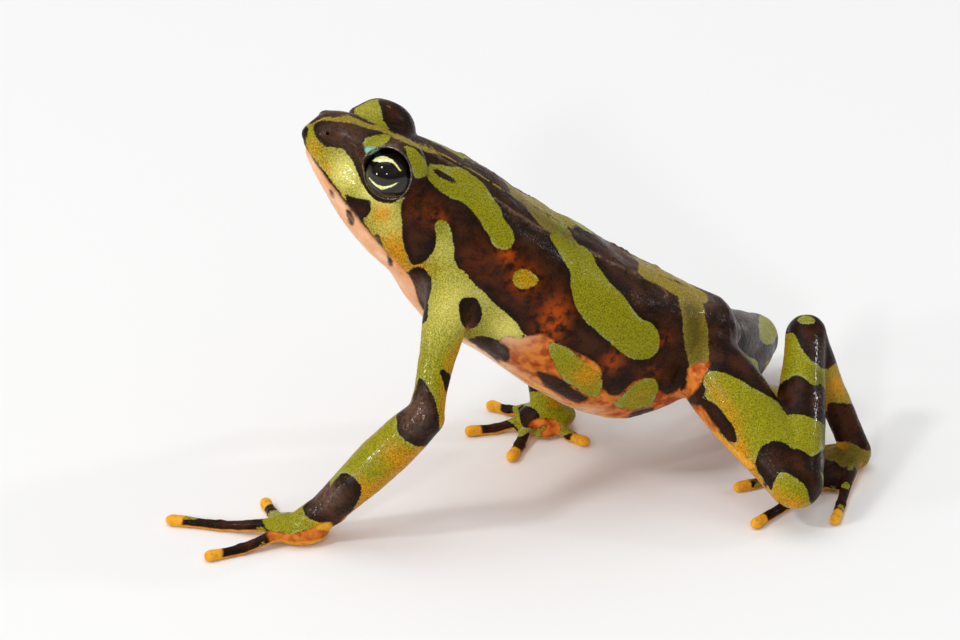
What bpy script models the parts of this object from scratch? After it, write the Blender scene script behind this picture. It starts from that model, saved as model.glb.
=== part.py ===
"""A variable harlequin frog, Atelopus varius, at life size, standing with its front end raised.

The frog faces -X, its left side faces -Y and +Z is up. Sizes are in millimetres and are scaled to
metres when a mesh is made. The head and torso are one hull of sections square to a pitched body
axis, given as a naval architect gives a boat: a line along the back, a line along the belly and a
line of half breadths. Each limb is a chain of bones with flesh round them, parted at every joint
by the plane that halves its bend, and each digit is one tube parted at its knuckle.
"""

import bmesh
import bpy
import numpy as np

MM = 0.001
GAP = 0.3

# The part's origin: the middle of its footprint, on the floor
ORIGIN = (3.5, 13.7, 0.0)

# The body axis: where the snout starts, how the body is pitched and which way it heads
SNOUT_TIP = (-14.1, 8.3, 33.2)
PITCH_DEG = 30.0
HEADING_DEG = 9.0
BODY_LENGTH = 42.0

# Lines of the hull: distance behind the snout tip, then height or breadth off the body axis
BACK_LINE = ((0.0, 0.35), (0.6, 1.5), (2.0, 2.45), (4.0, 2.95), (8.0, 3.35), (12.0, 3.6), (16.0, 3.2),
             (20.0, 2.45), (26.0, 1.8), (32.0, 1.2), (37.0, 1.1), (40.0, 1.0), (42.0, -0.3))
BELLY_LINE = ((0.0, -0.3), (0.8, -1.0), (1.5, -1.9), (3.0, -3.05), (6.0, -5.05), (9.0, -6.4), (12.0, -7.5),
              (14.0, -8.8), (17.0, -10.2), (22.0, -10.7), (28.0, -11.8), (33.0, -12.1), (36.5, -11.3),
              (39.0, -9.0), (41.0, -5.6), (42.0, -3.0))
HALF_BREADTH = ((0.0, 0.3), (0.6, 1.15), (2.0, 2.2), (4.0, 3.3), (6.6, 4.4), (10.5, 5.2), (13.0, 5.15),
                (17.0, 5.8), (22.0, 6.6), (27.0, 7.0), (32.0, 6.5), (37.0, 4.9), (40.5, 3.3), (42.0, 1.2))
WIDEST_LEVEL = ((0.0, 0.2), (2.0, -0.6), (6.6, -2.2), (10.5, -2.9), (14.0, -2.4), (20.0, -3.6),
                (28.0, -5.2), (36.0, -5.4), (42.0, -1.8))
SIDE_SHIFT = ((0.0, 0.0), (6.6, 0.65), (12.0, 0.8), (20.0, 0.65), (26.0, 0.3), (32.0, 0.0), (42.0, -0.25))
UPPER_SQUARENESS = ((0.0, 2.0), (4.0, 2.5), (10.0, 2.5), (16.0, 2.3), (30.0, 2.25), (42.0, 2.2))
LOWER_SQUARENESS = ((0.0, 2.0), (5.0, 1.9), (12.0, 2.0), (42.0, 2.05))

NECK = 12.6
HULL_SIDES = 32
TORSO_STEP = 1.4
HEAD_STEP = 0.55
SNOUT_RINGS = (0.0, 0.2)
ROUNDED_END = 0.02
LEAST_RISE = 0.1

# The mouth: its line drops from the front of the snout to the corner of the jaw
MOUTH_LINE = ((1.0, -1.1), (2.0, -1.55), (5.0, -2.75), (8.0, -3.95), (10.4, -4.9), (12.0, -5.3))
MOUTH_DEPTH = 0.3
MOUTH_CORNER = 10.2
MOUTH_FROM = 0.9
MOUTH_FADE = 0.8
LIP_SWELL = 0.14
LOWER_LIP_SWELL = 0.07
LIP_WIDTH = 0.3
UPPER_FACE_POINTS = 11
LOWER_FACE_POINTS = 6

# Angles from the middle of the back that are searched for the mouth's line and the nostril
MOUTH_SEARCH_DEG = (70.0, 179.5)
NOSTRIL_SEARCH_DEG = (2.0, 88.0)
SEARCH_STEPS = 200
LEAST_FACE_REACH = 1.2
MOST_LIP_SHARE = 0.3

# Ridge from nostril to eye, and the hollow side of the snout under it, placed by their share of the
# height from the widest level to the back
CANTHUS_FROM = 0.6
CANTHUS_TO = 5.4
CANTHUS_SWELL = 0.28
CANTHUS_SHARE = 0.72
CANTHUS_WIDTH = 0.13
CANTHUS_OUT = 0.5
LOREAL_HOLLOW = 0.3
HOLLOW_SHARE = 0.36
HOLLOW_WIDTH = 0.2

# Eyes and lids, measured along the body axis, above it and out from the middle of the head
EYE_ALONG = 6.6
EYE_ABOVE = 1.35
EYE_OUT = 3.7
EYE_RADIUS = 1.95
LID_OFFSET = (0.1, 0.55, -0.42)
LID_HALF_SIZE = (2.75, 2.45, 2.3)
RIM_RADIUS = 1.93
RIM_THICKNESS = 0.3
RIM_OUT = 0.55
RIM_TILT = 0.12

NOSTRIL_ALONG = 1.35
NOSTRIL_ABOVE = 1.25
NOSTRIL_SWELL = 0.42
NOSTRIL_INSET = 0.12
NOSTRIL_PIT = 0.2
PIT_OFFSET = 0.36
PIT_TILT = 0.5

# Points that close the hull's cut pieces before the cuts are made
SNOUT_LEVEL = 0.05
VENT_OVERHANG = 0.35
NECK_OVERLAP = 0.6
NECK_CAP = 0.5

# Joints of the limbs
SHOULDER = {"left": (-2.0, 5.6, 22.0), "right": (-1.5, 14.8, 21.8)}
ELBOW = {"left": (-4.4, -0.6, 12.0), "right": (5.0, 21.6, 14.4)}
WRIST = {"left": (-12.7, 0.4, 2.5), "right": (5.6, 18.9, 3.2)}
HIP = {"left": (18.2, 11.2, 10.9), "right": (18.4, 15.8, 9.4)}
KNEE = {"left": (25.7, 2.7, 4.1), "right": (23.3, 26.5, 4.0)}
HEEL = {"left": (27.0, 13.9, 11.5), "right": (20.6, 13.6, 6.6)}
INSTEP = {"left": (31.4, 11.9, 1.5), "right": (27.0, 18.9, 1.5)}

# Flesh round each bone: radii at even steps from its upper joint to its lower one
UPPER_ARM_FLESH = (1.95, 1.95, 1.75, 1.5, 1.35, 1.5)
FOREARM_FLESH = (1.6, 1.85, 1.9, 1.8, 1.6, 1.45)
THIGH_FLESH = (2.9, 3.1, 3.05, 2.8, 2.5, 2.3)
SHANK_FLESH = (2.2, 2.25, 2.15, 1.95, 1.75, 1.7)
TARSUS_FLESH = (1.65, 1.5, 1.35, 1.3, 1.25, 1.25)
BONE_RINGS = 7
BONE_SIDES = 14
TANGENT_STEP = 0.05

# Digit tips on the floor, where the knuckle divides each digit, and its thickness
FINGER_TIPS = {
    "left": ((-12.9, 4.2), (-17.6, 5.2), (-25.1, 2.6), (-21.7, -2.9)),
    "right": ((8.7, 15.4), (2.7, 12.9), (-0.7, 17.1), (1.1, 21.3)),
}
FINGER_KNUCKLES = {
    "left": ((-14.4, 1.5), (-16.4, 2.1), (-17.3, 0.9), (-16.9, -0.9)),
    "right": ((6.6, 17.0), (3.9, 16.4), (3.3, 17.8), (3.9, 19.8)),
}
FINGER_KNUCKLE_HEIGHT = {"left": 0.95, "right": 1.0}
TOE_REACH = (4.8, 7.5, 10.6, 13.1, 9.4)
TOE_SPREAD_DEG = (-51, -23, 0, 26, 54)
FOOT_HEADING_DEG = {"left": 202, "right": 146}
TOE_KNUCKLE_SHARE = (0.55, 0.5, 0.45, 0.42, 0.5)
TOE_KNUCKLE_HEIGHT = 0.85
LYING_HEIGHT = 0.42
FINGER_RADII = (0.8, 0.62, 0.5, 0.47, 0.52)
TOE_RADII = (0.75, 0.6, 0.48, 0.45, 0.5)
DIGIT_RINGS = 8
DIGIT_SIDES = 8

PALM_HALF_SIZE = {"left": (2.7, 1.75, 1.2), "right": (2.6, 2.0, 1.2)}
PALM_CENTRE = {"left": (-14.9, 0.35, 1.0), "right": (5.6, 18.4, 1.1)}
PALM_LEVEL = 1.0
FINGER_ROOT_SHARE = 0.55
STEM_FLESH = (1.45, 1.4, 1.3)
STEM_START = 0.8
ANKLE_FLESH = (1.25, 1.25)
ANKLE_DROP = 0.3
ROOM_CLEARANCE = 0.7 * GAP
SOLE_REACH = 0.3
SOLE_HEIGHT = 0.7
SOLE_HALF_SIZE = (3.0, 2.2, 0.95)

# Colours of the nodes
SKIN_GREEN = (0.42, 0.47, 0.03)
EYE_BLACK = (0.01, 0.01, 0.01)
TIP_ORANGE = (0.85, 0.35, 0.02)
SKIN_ROUGHNESS = 0.3
DIGIT_ROUGHNESS = 0.35
CORNEA_ROUGHNESS = 0.05
SHARP_DEG = 40.0


def unit(vector):
    """The vector at length one."""
    vector = np.asarray(vector, float)
    return vector / np.linalg.norm(vector)


def line_at(line, at):
    """A smooth curve through the points of a named line, read at one or many distances."""
    knots, values = np.array(line, float).T
    slopes = np.gradient(values, knots)
    at = np.clip(np.asarray(at, float), knots[0], knots[-1])
    i = np.clip(np.searchsorted(knots, at, "right") - 1, 0, len(knots) - 2)
    step = knots[i + 1] - knots[i]
    t = (at - knots[i]) / step
    rise = values[i + 1] - values[i]
    start, end = slopes[i] * step, slopes[i + 1] * step
    return values[i] + t * (start + t * (3 * rise - 2 * start - end + t * (start + end - 2 * rise)))


PITCH = np.radians(PITCH_DEG)
HEADING = np.radians(HEADING_DEG)
BACKWARD = np.array([np.cos(PITCH) * np.cos(HEADING), np.cos(PITCH) * np.sin(HEADING), -np.sin(PITCH)])
UPWARD = np.array([np.sin(PITCH) * np.cos(HEADING), np.sin(PITCH) * np.sin(HEADING), np.cos(PITCH)])
LEFTWARD = np.array([np.sin(HEADING), -np.cos(HEADING), 0.0])


def body_point(along, above, out):
    """A point of the body, from its distance along the axis, above it and to the left of it."""
    along, above, out = (np.asarray(value, float)[..., None] for value in (along, above, out))
    return np.array(SNOUT_TIP) + along * BACKWARD + above * UPWARD + out * LEFTWARD


def hull_section(along, angles, swell=0.0):
    """One section of the hull at each angle from the middle of the back, 90 degrees to the left."""
    top = line_at(BACK_LINE, along) + swell
    bottom = line_at(BELLY_LINE, along) - swell
    level = np.clip(line_at(WIDEST_LEVEL, along), bottom + LEAST_RISE, top - LEAST_RISE)
    breadth = line_at(HALF_BREADTH, along) + swell
    square = np.where(np.cos(angles) >= 0, line_at(UPPER_SQUARENESS, along), line_at(LOWER_SQUARENESS, along))
    rise = np.where(np.cos(angles) >= 0, top - level, level - bottom)
    out = breadth * np.sign(np.sin(angles)) * np.abs(np.sin(angles)) ** (2 / square)
    above = level + rise * np.sign(np.cos(angles)) * np.abs(np.cos(angles)) ** (2 / square)
    return above, out


def closed_loft(rings, first, last):
    """Vertices and faces of a skin over rings of equal count, closed to a point at each end."""
    count = len(rings[0])
    vertices = [tuple(p) for ring in rings for p in ring] + [tuple(first), tuple(last)]
    start, end = len(vertices) - 2, len(vertices) - 1
    faces = []
    for r in range(len(rings) - 1):
        for k in range(count):
            a, b = r * count + k, r * count + (k + 1) % count
            faces.append((a, b, b + count, a + count))
    top = (len(rings) - 1) * count
    for k in range(count):
        faces.append((start, (k + 1) % count, k))
        faces.append((end, top + k, top + (k + 1) % count))
    return vertices, faces


def placed(point):
    """A point in millimetres as metres from the part's origin."""
    return (np.asarray(point, float) - np.array(ORIGIN)) * MM


def mesh_object(name, vertices, faces):
    """An object with this closed mesh, in metres, its faces turned outwards."""
    mesh = bpy.data.meshes.new(name)
    mesh.from_pydata([tuple(placed(v)) for v in vertices], [], faces)
    shape = bmesh.new()
    shape.from_mesh(mesh)
    bmesh.ops.recalc_face_normals(shape, faces=shape.faces)
    bmesh.ops.triangulate(shape, faces=shape.faces)
    shape.to_mesh(mesh)
    shape.free()
    obj = bpy.data.objects.new(name, mesh)
    bpy.context.scene.collection.objects.link(obj)
    return obj


def cut(obj, point, normal, clearance=GAP / 2):
    """Keeps what lies behind a plane, less a clearance, and closes the cut face."""
    normal = unit(normal)
    at = placed(np.asarray(point, float) - clearance * normal)
    shape = bmesh.new()
    shape.from_mesh(obj.data)
    everything = list(shape.verts) + list(shape.edges) + list(shape.faces)
    sliced = bmesh.ops.bisect_plane(shape, geom=everything, plane_co=at, plane_no=normal,
                                    clear_outer=True, dist=1e-7)
    rim = [item for item in sliced["geom_cut"] if isinstance(item, bmesh.types.BMEdge)]
    if rim:
        cap = bmesh.ops.holes_fill(shape, edges=rim, sides=0)
        bmesh.ops.triangulate(shape, faces=cap["faces"])
    bmesh.ops.recalc_face_normals(shape, faces=shape.faces)
    shape.to_mesh(obj.data)
    shape.free()


def keep_largest(obj):
    """Drops every loose scrap and sealed hollow of a mesh but its largest closed surface."""
    shape = bmesh.new()
    shape.from_mesh(obj.data)
    unseen = set(shape.verts)
    groups = []
    while unseen:
        reached = {unseen.pop()}
        edge_of_search = set(reached)
        while edge_of_search:
            beyond = {e.other_vert(v) for v in edge_of_search for e in v.link_edges} - reached
            reached |= beyond
            edge_of_search = beyond
        unseen -= reached
        groups.append(reached)
    groups.sort(key=len)
    scraps = [v for group in groups[:-1] for v in group]
    bmesh.ops.delete(shape, geom=scraps, context="VERTS")
    shape.to_mesh(obj.data)
    shape.free()


def combine(obj, others, operation):
    """Joins other closed meshes to an object, or takes them away, and removes them."""
    tools = bpy.data.collections.new("tools")
    bpy.context.scene.collection.children.link(tools)
    for other in others:
        bpy.context.scene.collection.objects.unlink(other)
        tools.objects.link(other)
    modifier = obj.modifiers.new("combine", "BOOLEAN")
    modifier.operation = operation
    modifier.operand_type = "COLLECTION"
    modifier.collection = tools
    modifier.solver = "EXACT"
    bpy.context.view_layer.update()
    result = bpy.data.meshes.new_from_object(obj.evaluated_get(bpy.context.evaluated_depsgraph_get()))
    obj.modifiers.clear()
    obj.data = result
    for other in others:
        bpy.data.objects.remove(other)
    bpy.data.collections.remove(tools)
    keep_largest(obj)


def ellipsoid(name, centre, half_size, axes, rings=10, sides=18):
    """A closed ellipsoid with its own three axes."""
    axes = np.array(axes, float)
    polar = np.linspace(0, np.pi, rings + 2)[1:-1]
    around = np.linspace(0, 2 * np.pi, sides, endpoint=False)
    circle = np.stack([np.cos(around), np.sin(around)], -1)
    layers = []
    for angle in polar:
        local = np.column_stack([np.full(sides, np.cos(angle)), circle * np.sin(angle)])
        layers.append(np.array(centre) + (local * np.array(half_size)) @ axes)
    tip = np.array(half_size[0] * axes[0])
    return mesh_object(name, *closed_loft(layers, centre + tip, centre - tip))


def ring_tube(name, centre, normal, radius, thickness, around=22, sides=6):
    """A closed ring of round section."""
    normal = unit(normal)
    first = unit(np.cross(normal, (0.3, 0.2, 1.0)))
    second = np.cross(normal, first)
    vertices, faces = [], []
    for i in range(around):
        turn = 2 * np.pi * i / around
        outward = np.cos(turn) * first + np.sin(turn) * second
        for j in range(sides):
            roll = 2 * np.pi * j / sides
            arm = (radius + thickness * np.cos(roll)) * outward + thickness * np.sin(roll) * normal
            vertices.append(np.array(centre) + arm)
            a, b = i * sides + j, i * sides + (j + 1) % sides
            faces.append((a, b, (b + sides) % (around * sides), (a + sides) % (around * sides)))
    return mesh_object(name, vertices, faces)


def tube(name, path, radii, sides, rings, upright=(0, 0, 1)):
    """A round-ended tube along a smooth path, with radii at even steps of its length.

    Args:
        path: points in millimetres that the tube's middle passes through.
        radii: thickness at even steps from the first point to the last.
        upright: the direction across which the section's height is measured.
    """
    path = np.array(path, float)
    gone = np.concatenate([[0], np.cumsum(np.linalg.norm(np.diff(path, axis=0), axis=1))])
    length = gone[-1]
    steps = np.linspace(0, length, len(radii))
    cap = np.sin(np.linspace(0, np.pi / 2, 4))[1:-1]
    before = -radii[0] * cap[::-1]
    after = length + radii[-1] * cap
    distances = np.concatenate([before, np.linspace(0, length, rings), after])
    shrink = np.sqrt(1 - np.concatenate([cap[::-1], np.zeros(rings), cap]) ** 2)
    lines = [list(zip(gone, path[:, axis])) for axis in range(3)]
    inside = np.clip(distances, 0, length)
    centres = np.stack([line_at(line, inside) for line in lines], -1)
    ahead = np.stack([line_at(line, np.minimum(inside + TANGENT_STEP, length)) for line in lines], -1)
    behind = np.stack([line_at(line, np.maximum(inside - TANGENT_STEP, 0)) for line in lines], -1)
    tangents = (ahead - behind) / np.linalg.norm(ahead - behind, axis=1, keepdims=True)
    centres = centres + (distances - inside)[:, None] * tangents
    thick = line_at(list(zip(steps, radii)), inside) * shrink
    across = np.cross(tangents, np.array(upright, float))
    across /= np.linalg.norm(across, axis=1, keepdims=True)
    rise = np.cross(across, tangents)
    around = np.linspace(0, 2 * np.pi, sides, endpoint=False) + np.pi / sides
    layers = [
        c + r * (np.cos(around)[:, None] * a + np.sin(around)[:, None] * u)
        for c, r, a, u in zip(centres, thick, across, rise)
    ]
    first = centres[0] - (radii[0] + before[0]) * tangents[0]
    last = centres[-1] + (radii[-1] - radii[-1] * cap[-1]) * tangents[-1]
    return mesh_object(name, *closed_loft(layers, first, last))


def stand_on_floor(obj):
    """Flattens whatever reaches below the floor, so that the piece rests on a small flat."""
    for vertex in obj.data.vertices:
        vertex.co.z = max(vertex.co.z, 0.0)


def halving_plane(before, joint, after):
    """The direction square to the plane that halves the bend at a joint."""
    before, joint, after = (np.array(p, float) for p in (before, joint, after))
    return unit(unit(joint - before) + unit(after - joint))


def hull_rings(distances, swell=0.0):
    """Sections of the hull with evenly spaced angles."""
    angles = np.linspace(0, 2 * np.pi, HULL_SIDES, endpoint=False)
    shifts = line_at(SIDE_SHIFT, distances)
    rings = []
    for along, shift in zip(distances, shifts):
        above, out = hull_section(along, angles, swell)
        rings.append(body_point(along, above, out + shift))
    return rings


def hull_ends(swell=0.0):
    """Points that close the hull at the snout and at the vent."""
    middle = 0.5 * (line_at(BACK_LINE, BODY_LENGTH) + line_at(BELLY_LINE, BODY_LENGTH))
    snout = body_point(-swell - ROUNDED_END, SNOUT_LEVEL, 0.0)
    vent = body_point(BODY_LENGTH + swell + VENT_OVERHANG, middle, line_at(SIDE_SHIFT, BODY_LENGTH))
    return snout, vent


def whole_hull(name, swell=0.0):
    """The head and torso as one plain hull, grown by a swell to cut clearances with."""
    distances = np.arange(0.0, BODY_LENGTH + 0.01, TORSO_STEP)
    snout, vent = hull_ends(swell)
    return mesh_object(name, *closed_loft(hull_rings(distances, swell), snout, vent))


def face_angles(along):
    """Angles round one section of the head, set so that a line of points follows the mouth."""
    sweep = np.radians(np.linspace(*MOUTH_SEARCH_DEG, SEARCH_STEPS))
    above, _ = hull_section(along, sweep)
    wanted = line_at(MOUTH_LINE, along)
    mouth = float(np.interp(-wanted, -above, sweep))
    reach = max(line_at(HALF_BREADTH, along), LEAST_FACE_REACH)
    step = min(LIP_WIDTH / reach, MOST_LIP_SHARE * (np.pi - mouth))
    upper = np.linspace(0, mouth - 2 * step, UPPER_FACE_POINTS)
    lips = mouth + step * np.array([-1.0, 0.0, 1.0])
    lower = np.linspace(mouth + 2 * step, np.pi, LOWER_FACE_POINTS)
    left = np.concatenate([upper, lips, lower])
    return np.concatenate([left, 2 * np.pi - left[-2:0:-1]])


def face_relief(along, above, out, angles):
    """How far the face stands out of or into the hull: mouth, lips, canthus and hollow cheek."""
    half = UPPER_FACE_POINTS
    count = len(angles)
    relief = np.zeros(count)
    fade = np.clip((along - MOUTH_FROM) / MOUTH_FADE, 0, 1) * np.clip((MOUTH_CORNER - along) / MOUTH_FADE, 0, 1)
    for side in (half, count - half - 2):
        relief[side] += LIP_SWELL * fade
        relief[side + 1] -= MOUTH_DEPTH * fade
        relief[side + 2] += LOWER_LIP_SWELL * fade
    top, level = line_at(BACK_LINE, along), line_at(WIDEST_LEVEL, along)
    share = (above - level) / (top - level)
    snout = np.clip((along - CANTHUS_FROM) / MOUTH_FADE, 0, 1) * np.clip((CANTHUS_TO - along) / MOUTH_FADE, 0, 1)
    ridge = np.exp(-(((share - CANTHUS_SHARE) / CANTHUS_WIDTH) ** 2)) * (np.abs(out) > CANTHUS_OUT)
    hollow = np.exp(-(((share - HOLLOW_SHARE) / HOLLOW_WIDTH) ** 2))
    return relief + snout * (CANTHUS_SWELL * ridge - LOREAL_HOLLOW * hollow)


def eye_centre(side):
    """The middle of an eyeball; side is 1 on the left and -1 on the right."""
    shift = line_at(SIDE_SHIFT, EYE_ALONG)
    return body_point(EYE_ALONG, EYE_ABOVE, shift + side * EYE_OUT)


def make_head():
    """The head, with lips, the line of the mouth, nostrils and lids round each eye socket."""
    distances = np.concatenate([SNOUT_RINGS, np.arange(HEAD_STEP, NECK + NECK_OVERLAP, HEAD_STEP)])
    rings = []
    for along in distances:
        angles = face_angles(along)
        above, out = hull_section(along, angles)
        relief = face_relief(along, above, out, angles)
        shift = line_at(SIDE_SHIFT, along)
        level = line_at(WIDEST_LEVEL, along)
        outward = np.stack([above - level, out], -1)
        outward /= np.linalg.norm(outward, axis=1, keepdims=True) + 1e-9
        above, out = above + relief * outward[:, 0], out + relief * outward[:, 1]
        rings.append(body_point(along, above, out + shift))
    snout, _ = hull_ends()
    back = body_point(distances[-1] + NECK_CAP, line_at(WIDEST_LEVEL, NECK), line_at(SIDE_SHIFT, NECK))
    head = mesh_object("head", *closed_loft(rings, snout, back))
    cut(head, body_point(NECK, 0.0, 0.0), BACKWARD)
    axes = (BACKWARD, UPWARD, LEFTWARD)
    additions, cutters = [], []
    for side in (1, -1):
        eye = eye_centre(side)
        along, above, out = LID_OFFSET
        lid_centre = eye + along * BACKWARD + above * UPWARD + side * out * LEFTWARD
        additions.append(ellipsoid("lid", lid_centre, LID_HALF_SIZE, axes, rings=12, sides=20))
        outward = unit(side * LEFTWARD + RIM_TILT * UPWARD)
        additions.append(ring_tube("rim", eye + RIM_OUT * outward, outward, RIM_RADIUS, RIM_THICKNESS))
        cutters.append(ellipsoid("socket", eye, (EYE_RADIUS + GAP,) * 3, axes, rings=11, sides=20))
        nostril = nostril_point(side)
        additions.append(ellipsoid("nostril", nostril, (NOSTRIL_SWELL,) * 3, axes, rings=6, sides=12))
        pit = nostril + PIT_OFFSET * unit(side * LEFTWARD - PIT_TILT * BACKWARD + PIT_TILT * UPWARD)
        cutters.append(ellipsoid("pit", pit, (NOSTRIL_PIT,) * 3, axes, rings=5, sides=10))
    combine(head, additions, "UNION")
    combine(head, cutters, "DIFFERENCE")
    return head


def nostril_point(side):
    """Where the nostril's swelling is centred, on the skin at the end of the canthus."""
    angles = np.radians(np.linspace(*NOSTRIL_SEARCH_DEG, SEARCH_STEPS))
    above, out = hull_section(NOSTRIL_ALONG, angles)
    share = int(np.argmin(np.abs(above - NOSTRIL_ABOVE)))
    shift = line_at(SIDE_SHIFT, NOSTRIL_ALONG)
    return body_point(NOSTRIL_ALONG, above[share], shift + side * (out[share] - NOSTRIL_INSET))


def make_torso():
    """The body from the neck to the vent."""
    between = np.arange(NECK + NECK_OVERLAP, BODY_LENGTH, TORSO_STEP)
    distances = np.concatenate([[NECK - NECK_OVERLAP], between, [BODY_LENGTH]])
    _, vent = hull_ends()
    front = body_point(distances[0] - NECK_CAP, line_at(WIDEST_LEVEL, NECK), line_at(SIDE_SHIFT, NECK))
    torso = mesh_object("torso", *closed_loft(hull_rings(distances), front, vent))
    cut(torso, body_point(NECK, 0.0, 0.0), -BACKWARD)
    return torso


def make_bone(name, start, end, flesh, upright=(0, 0, 1)):
    """One straight length of a limb with its flesh, rounded at both joints."""
    return tube(name, (start, end), flesh, BONE_SIDES, BONE_RINGS, upright)


def make_arm(side):
    """Upper arm and forearm, parted at the elbow, with the hand's joint at the wrist."""
    shoulder, elbow, wrist = SHOULDER[side], ELBOW[side], WRIST[side]
    hand = (*PALM_CENTRE[side][:2], PALM_LEVEL)
    bend = halving_plane(shoulder, elbow, wrist)
    upper = make_bone(f"upper_arm_{side}", shoulder, elbow, UPPER_ARM_FLESH, upright=(0, 1, 0))
    cut(upper, elbow, bend)
    combine(upper, [whole_hull("clearance", GAP)], "DIFFERENCE")
    fore = make_bone(f"forearm_{side}", elbow, wrist, FOREARM_FLESH, upright=(0, 1, 0))
    cut(fore, elbow, -bend)
    cut(fore, wrist, halving_plane(elbow, wrist, hand))
    return [upper, fore]


def digit(name, root, knuckle, tip, knuckle_height, radii, on_floor=True):
    """One digit as a whole tube from the root of the hand or foot to its tip on the floor."""
    half_way = 0.5 * (np.array(knuckle) + np.array(tip))
    path = (
        root,
        (*knuckle, knuckle_height),
        (*half_way, LYING_HEIGHT),
        (*tip, LYING_HEIGHT),
    )
    obj = tube(name, path, radii, DIGIT_SIDES, DIGIT_RINGS)
    if on_floor:
        stand_on_floor(obj)
    return obj


def room_for(root, knuckle, tip, knuckle_height, radii, at, direction):
    """The space round a digit beyond its knuckle, which the hand or foot keeps clear of."""
    wide = [radius + GAP for radius in radii]
    room = digit("room", root, knuckle, tip, knuckle_height, wide, on_floor=False)
    cut(room, at, -direction, -ROOM_CLEARANCE)
    return room


def make_palm_and_fingers(side):
    """The hand with its four finger roots, and each finger beyond its knuckle."""
    wrist = np.array(WRIST[side])
    palm = PALM_CENTRE[side]
    middle_tip = np.array((*FINGER_TIPS[side][2], 0.0))
    forward = unit((middle_tip - wrist) * (1, 1, 0))
    across = np.cross((0, 0, 1), forward)
    hand = ellipsoid(f"hand_{side}", palm, PALM_HALF_SIZE[side], (forward, across, (0, 0, 1)))
    stem = make_bone("stem", wrist + STEM_START * unit(wrist - np.array(palm)), palm, STEM_FLESH)
    fingers, roots, rooms = [], [stem], []
    height = FINGER_KNUCKLE_HEIGHT[side]
    level_palm = np.array((*palm[:2], PALM_LEVEL))
    root = (1 - FINGER_ROOT_SHARE) * wrist + FINGER_ROOT_SHARE * level_palm
    for number, (tip, knuckle) in enumerate(zip(FINGER_TIPS[side], FINGER_KNUCKLES[side]), 1):
        name = f"finger_{side}_{number}"
        direction = unit((*(np.array(tip) - np.array(knuckle)), 0))
        at = (*knuckle, height)
        finger = digit(name, root, knuckle, tip, height, FINGER_RADII)
        cut(finger, at, -direction)
        fingers.append(finger)
        start = digit("finger root", root, knuckle, tip, height, FINGER_RADII)
        cut(start, at, direction)
        roots.append(start)
        rooms.append(room_for(root, knuckle, tip, height, FINGER_RADII, at, direction))
    for piece in (hand, *roots):
        stand_on_floor(piece)
    combine(hand, roots, "UNION")
    cut(hand, wrist, -halving_plane(ELBOW[side], wrist, level_palm))
    combine(hand, rooms, "DIFFERENCE")
    return [hand, *fingers]


def toe_tips(side):
    """Where the five toes of a foot end on the floor, fanned out from the instep."""
    outward = 1 if side == "left" else -1
    turn = np.radians(FOOT_HEADING_DEG[side] + outward * np.array(TOE_SPREAD_DEG))
    reach = np.array(TOE_REACH)[:, None]
    return np.array(INSTEP[side])[:2] + reach * np.stack([np.cos(turn), np.sin(turn)], -1)


def foot_ahead(side):
    """A point that the foot points at, between its two longest toes."""
    return np.array((*np.mean(toe_tips(side)[2:4], axis=0), 1.0))


def make_leg(side):
    """Thigh, shank and tarsus, parted at the knee and the heel."""
    hip, knee, heel, instep = HIP[side], KNEE[side], HEEL[side], INSTEP[side]
    foot = foot_ahead(side)
    knee_bend, heel_bend = halving_plane(hip, knee, heel), halving_plane(knee, heel, instep)
    thigh = make_bone(f"thigh_{side}", hip, knee, THIGH_FLESH)
    cut(thigh, knee, knee_bend)
    combine(thigh, [whole_hull("clearance", GAP)], "DIFFERENCE")
    shank = make_bone(f"shank_{side}", knee, heel, SHANK_FLESH)
    cut(shank, knee, -knee_bend)
    cut(shank, heel, heel_bend)
    tarsus = make_bone(f"tarsus_{side}", heel, instep, TARSUS_FLESH, upright=(0, 1, 0))
    stand_on_floor(tarsus)
    cut(tarsus, heel, -heel_bend)
    cut(tarsus, instep, halving_plane(heel, instep, foot))
    return [thigh, shank, tarsus]


def make_foot_and_toes(side):
    """The foot with its five toe roots and webbed sole, and each toe beyond its knuckle."""
    instep = np.array(INSTEP[side])
    ahead = foot_ahead(side)
    forward = unit((ahead - instep) * (1, 1, 0))
    across = np.cross((0, 0, 1), forward)
    centre = instep * (1, 1, 0) + SOLE_REACH * (ahead - instep) * (1, 1, 0) + (0, 0, SOLE_HEIGHT)
    foot = ellipsoid(f"foot_{side}", centre, SOLE_HALF_SIZE, (forward, across, (0, 0, 1)), rings=8, sides=16)
    toes, rooms = [], []
    ankle = make_bone("ankle", instep, instep - (0.0, 0.0, ANKLE_DROP), ANKLE_FLESH, upright=(0, 1, 0))
    roots = [ankle]
    for number, (tip, share) in enumerate(zip(toe_tips(side), TOE_KNUCKLE_SHARE), 1):
        knuckle = instep[:2] + share * (tip - instep[:2])
        direction = unit((*(tip - knuckle), 0))
        at = (*knuckle, TOE_KNUCKLE_HEIGHT)
        toe = digit(f"toe_{side}_{number}", instep, knuckle, tip, TOE_KNUCKLE_HEIGHT, TOE_RADII)
        cut(toe, at, -direction)
        toes.append(toe)
        start = digit("toe root", instep, knuckle, tip, TOE_KNUCKLE_HEIGHT, TOE_RADII)
        cut(start, at, direction)
        roots.append(start)
        rooms.append(room_for(instep, knuckle, tip, TOE_KNUCKLE_HEIGHT, TOE_RADII, at, direction))
    for piece in (foot, ankle):
        stand_on_floor(piece)
    combine(foot, roots, "UNION")
    cut(foot, instep, -halving_plane(HEEL[side], instep, ahead))
    combine(foot, rooms, "DIFFERENCE")
    return [foot, *toes]


def make_eye(side, sign):
    """One eyeball."""
    axes = (LEFTWARD, BACKWARD, UPWARD)
    return ellipsoid(f"eye_{side}", eye_centre(sign), (EYE_RADIUS,) * 3, axes, rings=11, sides=20)


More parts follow.
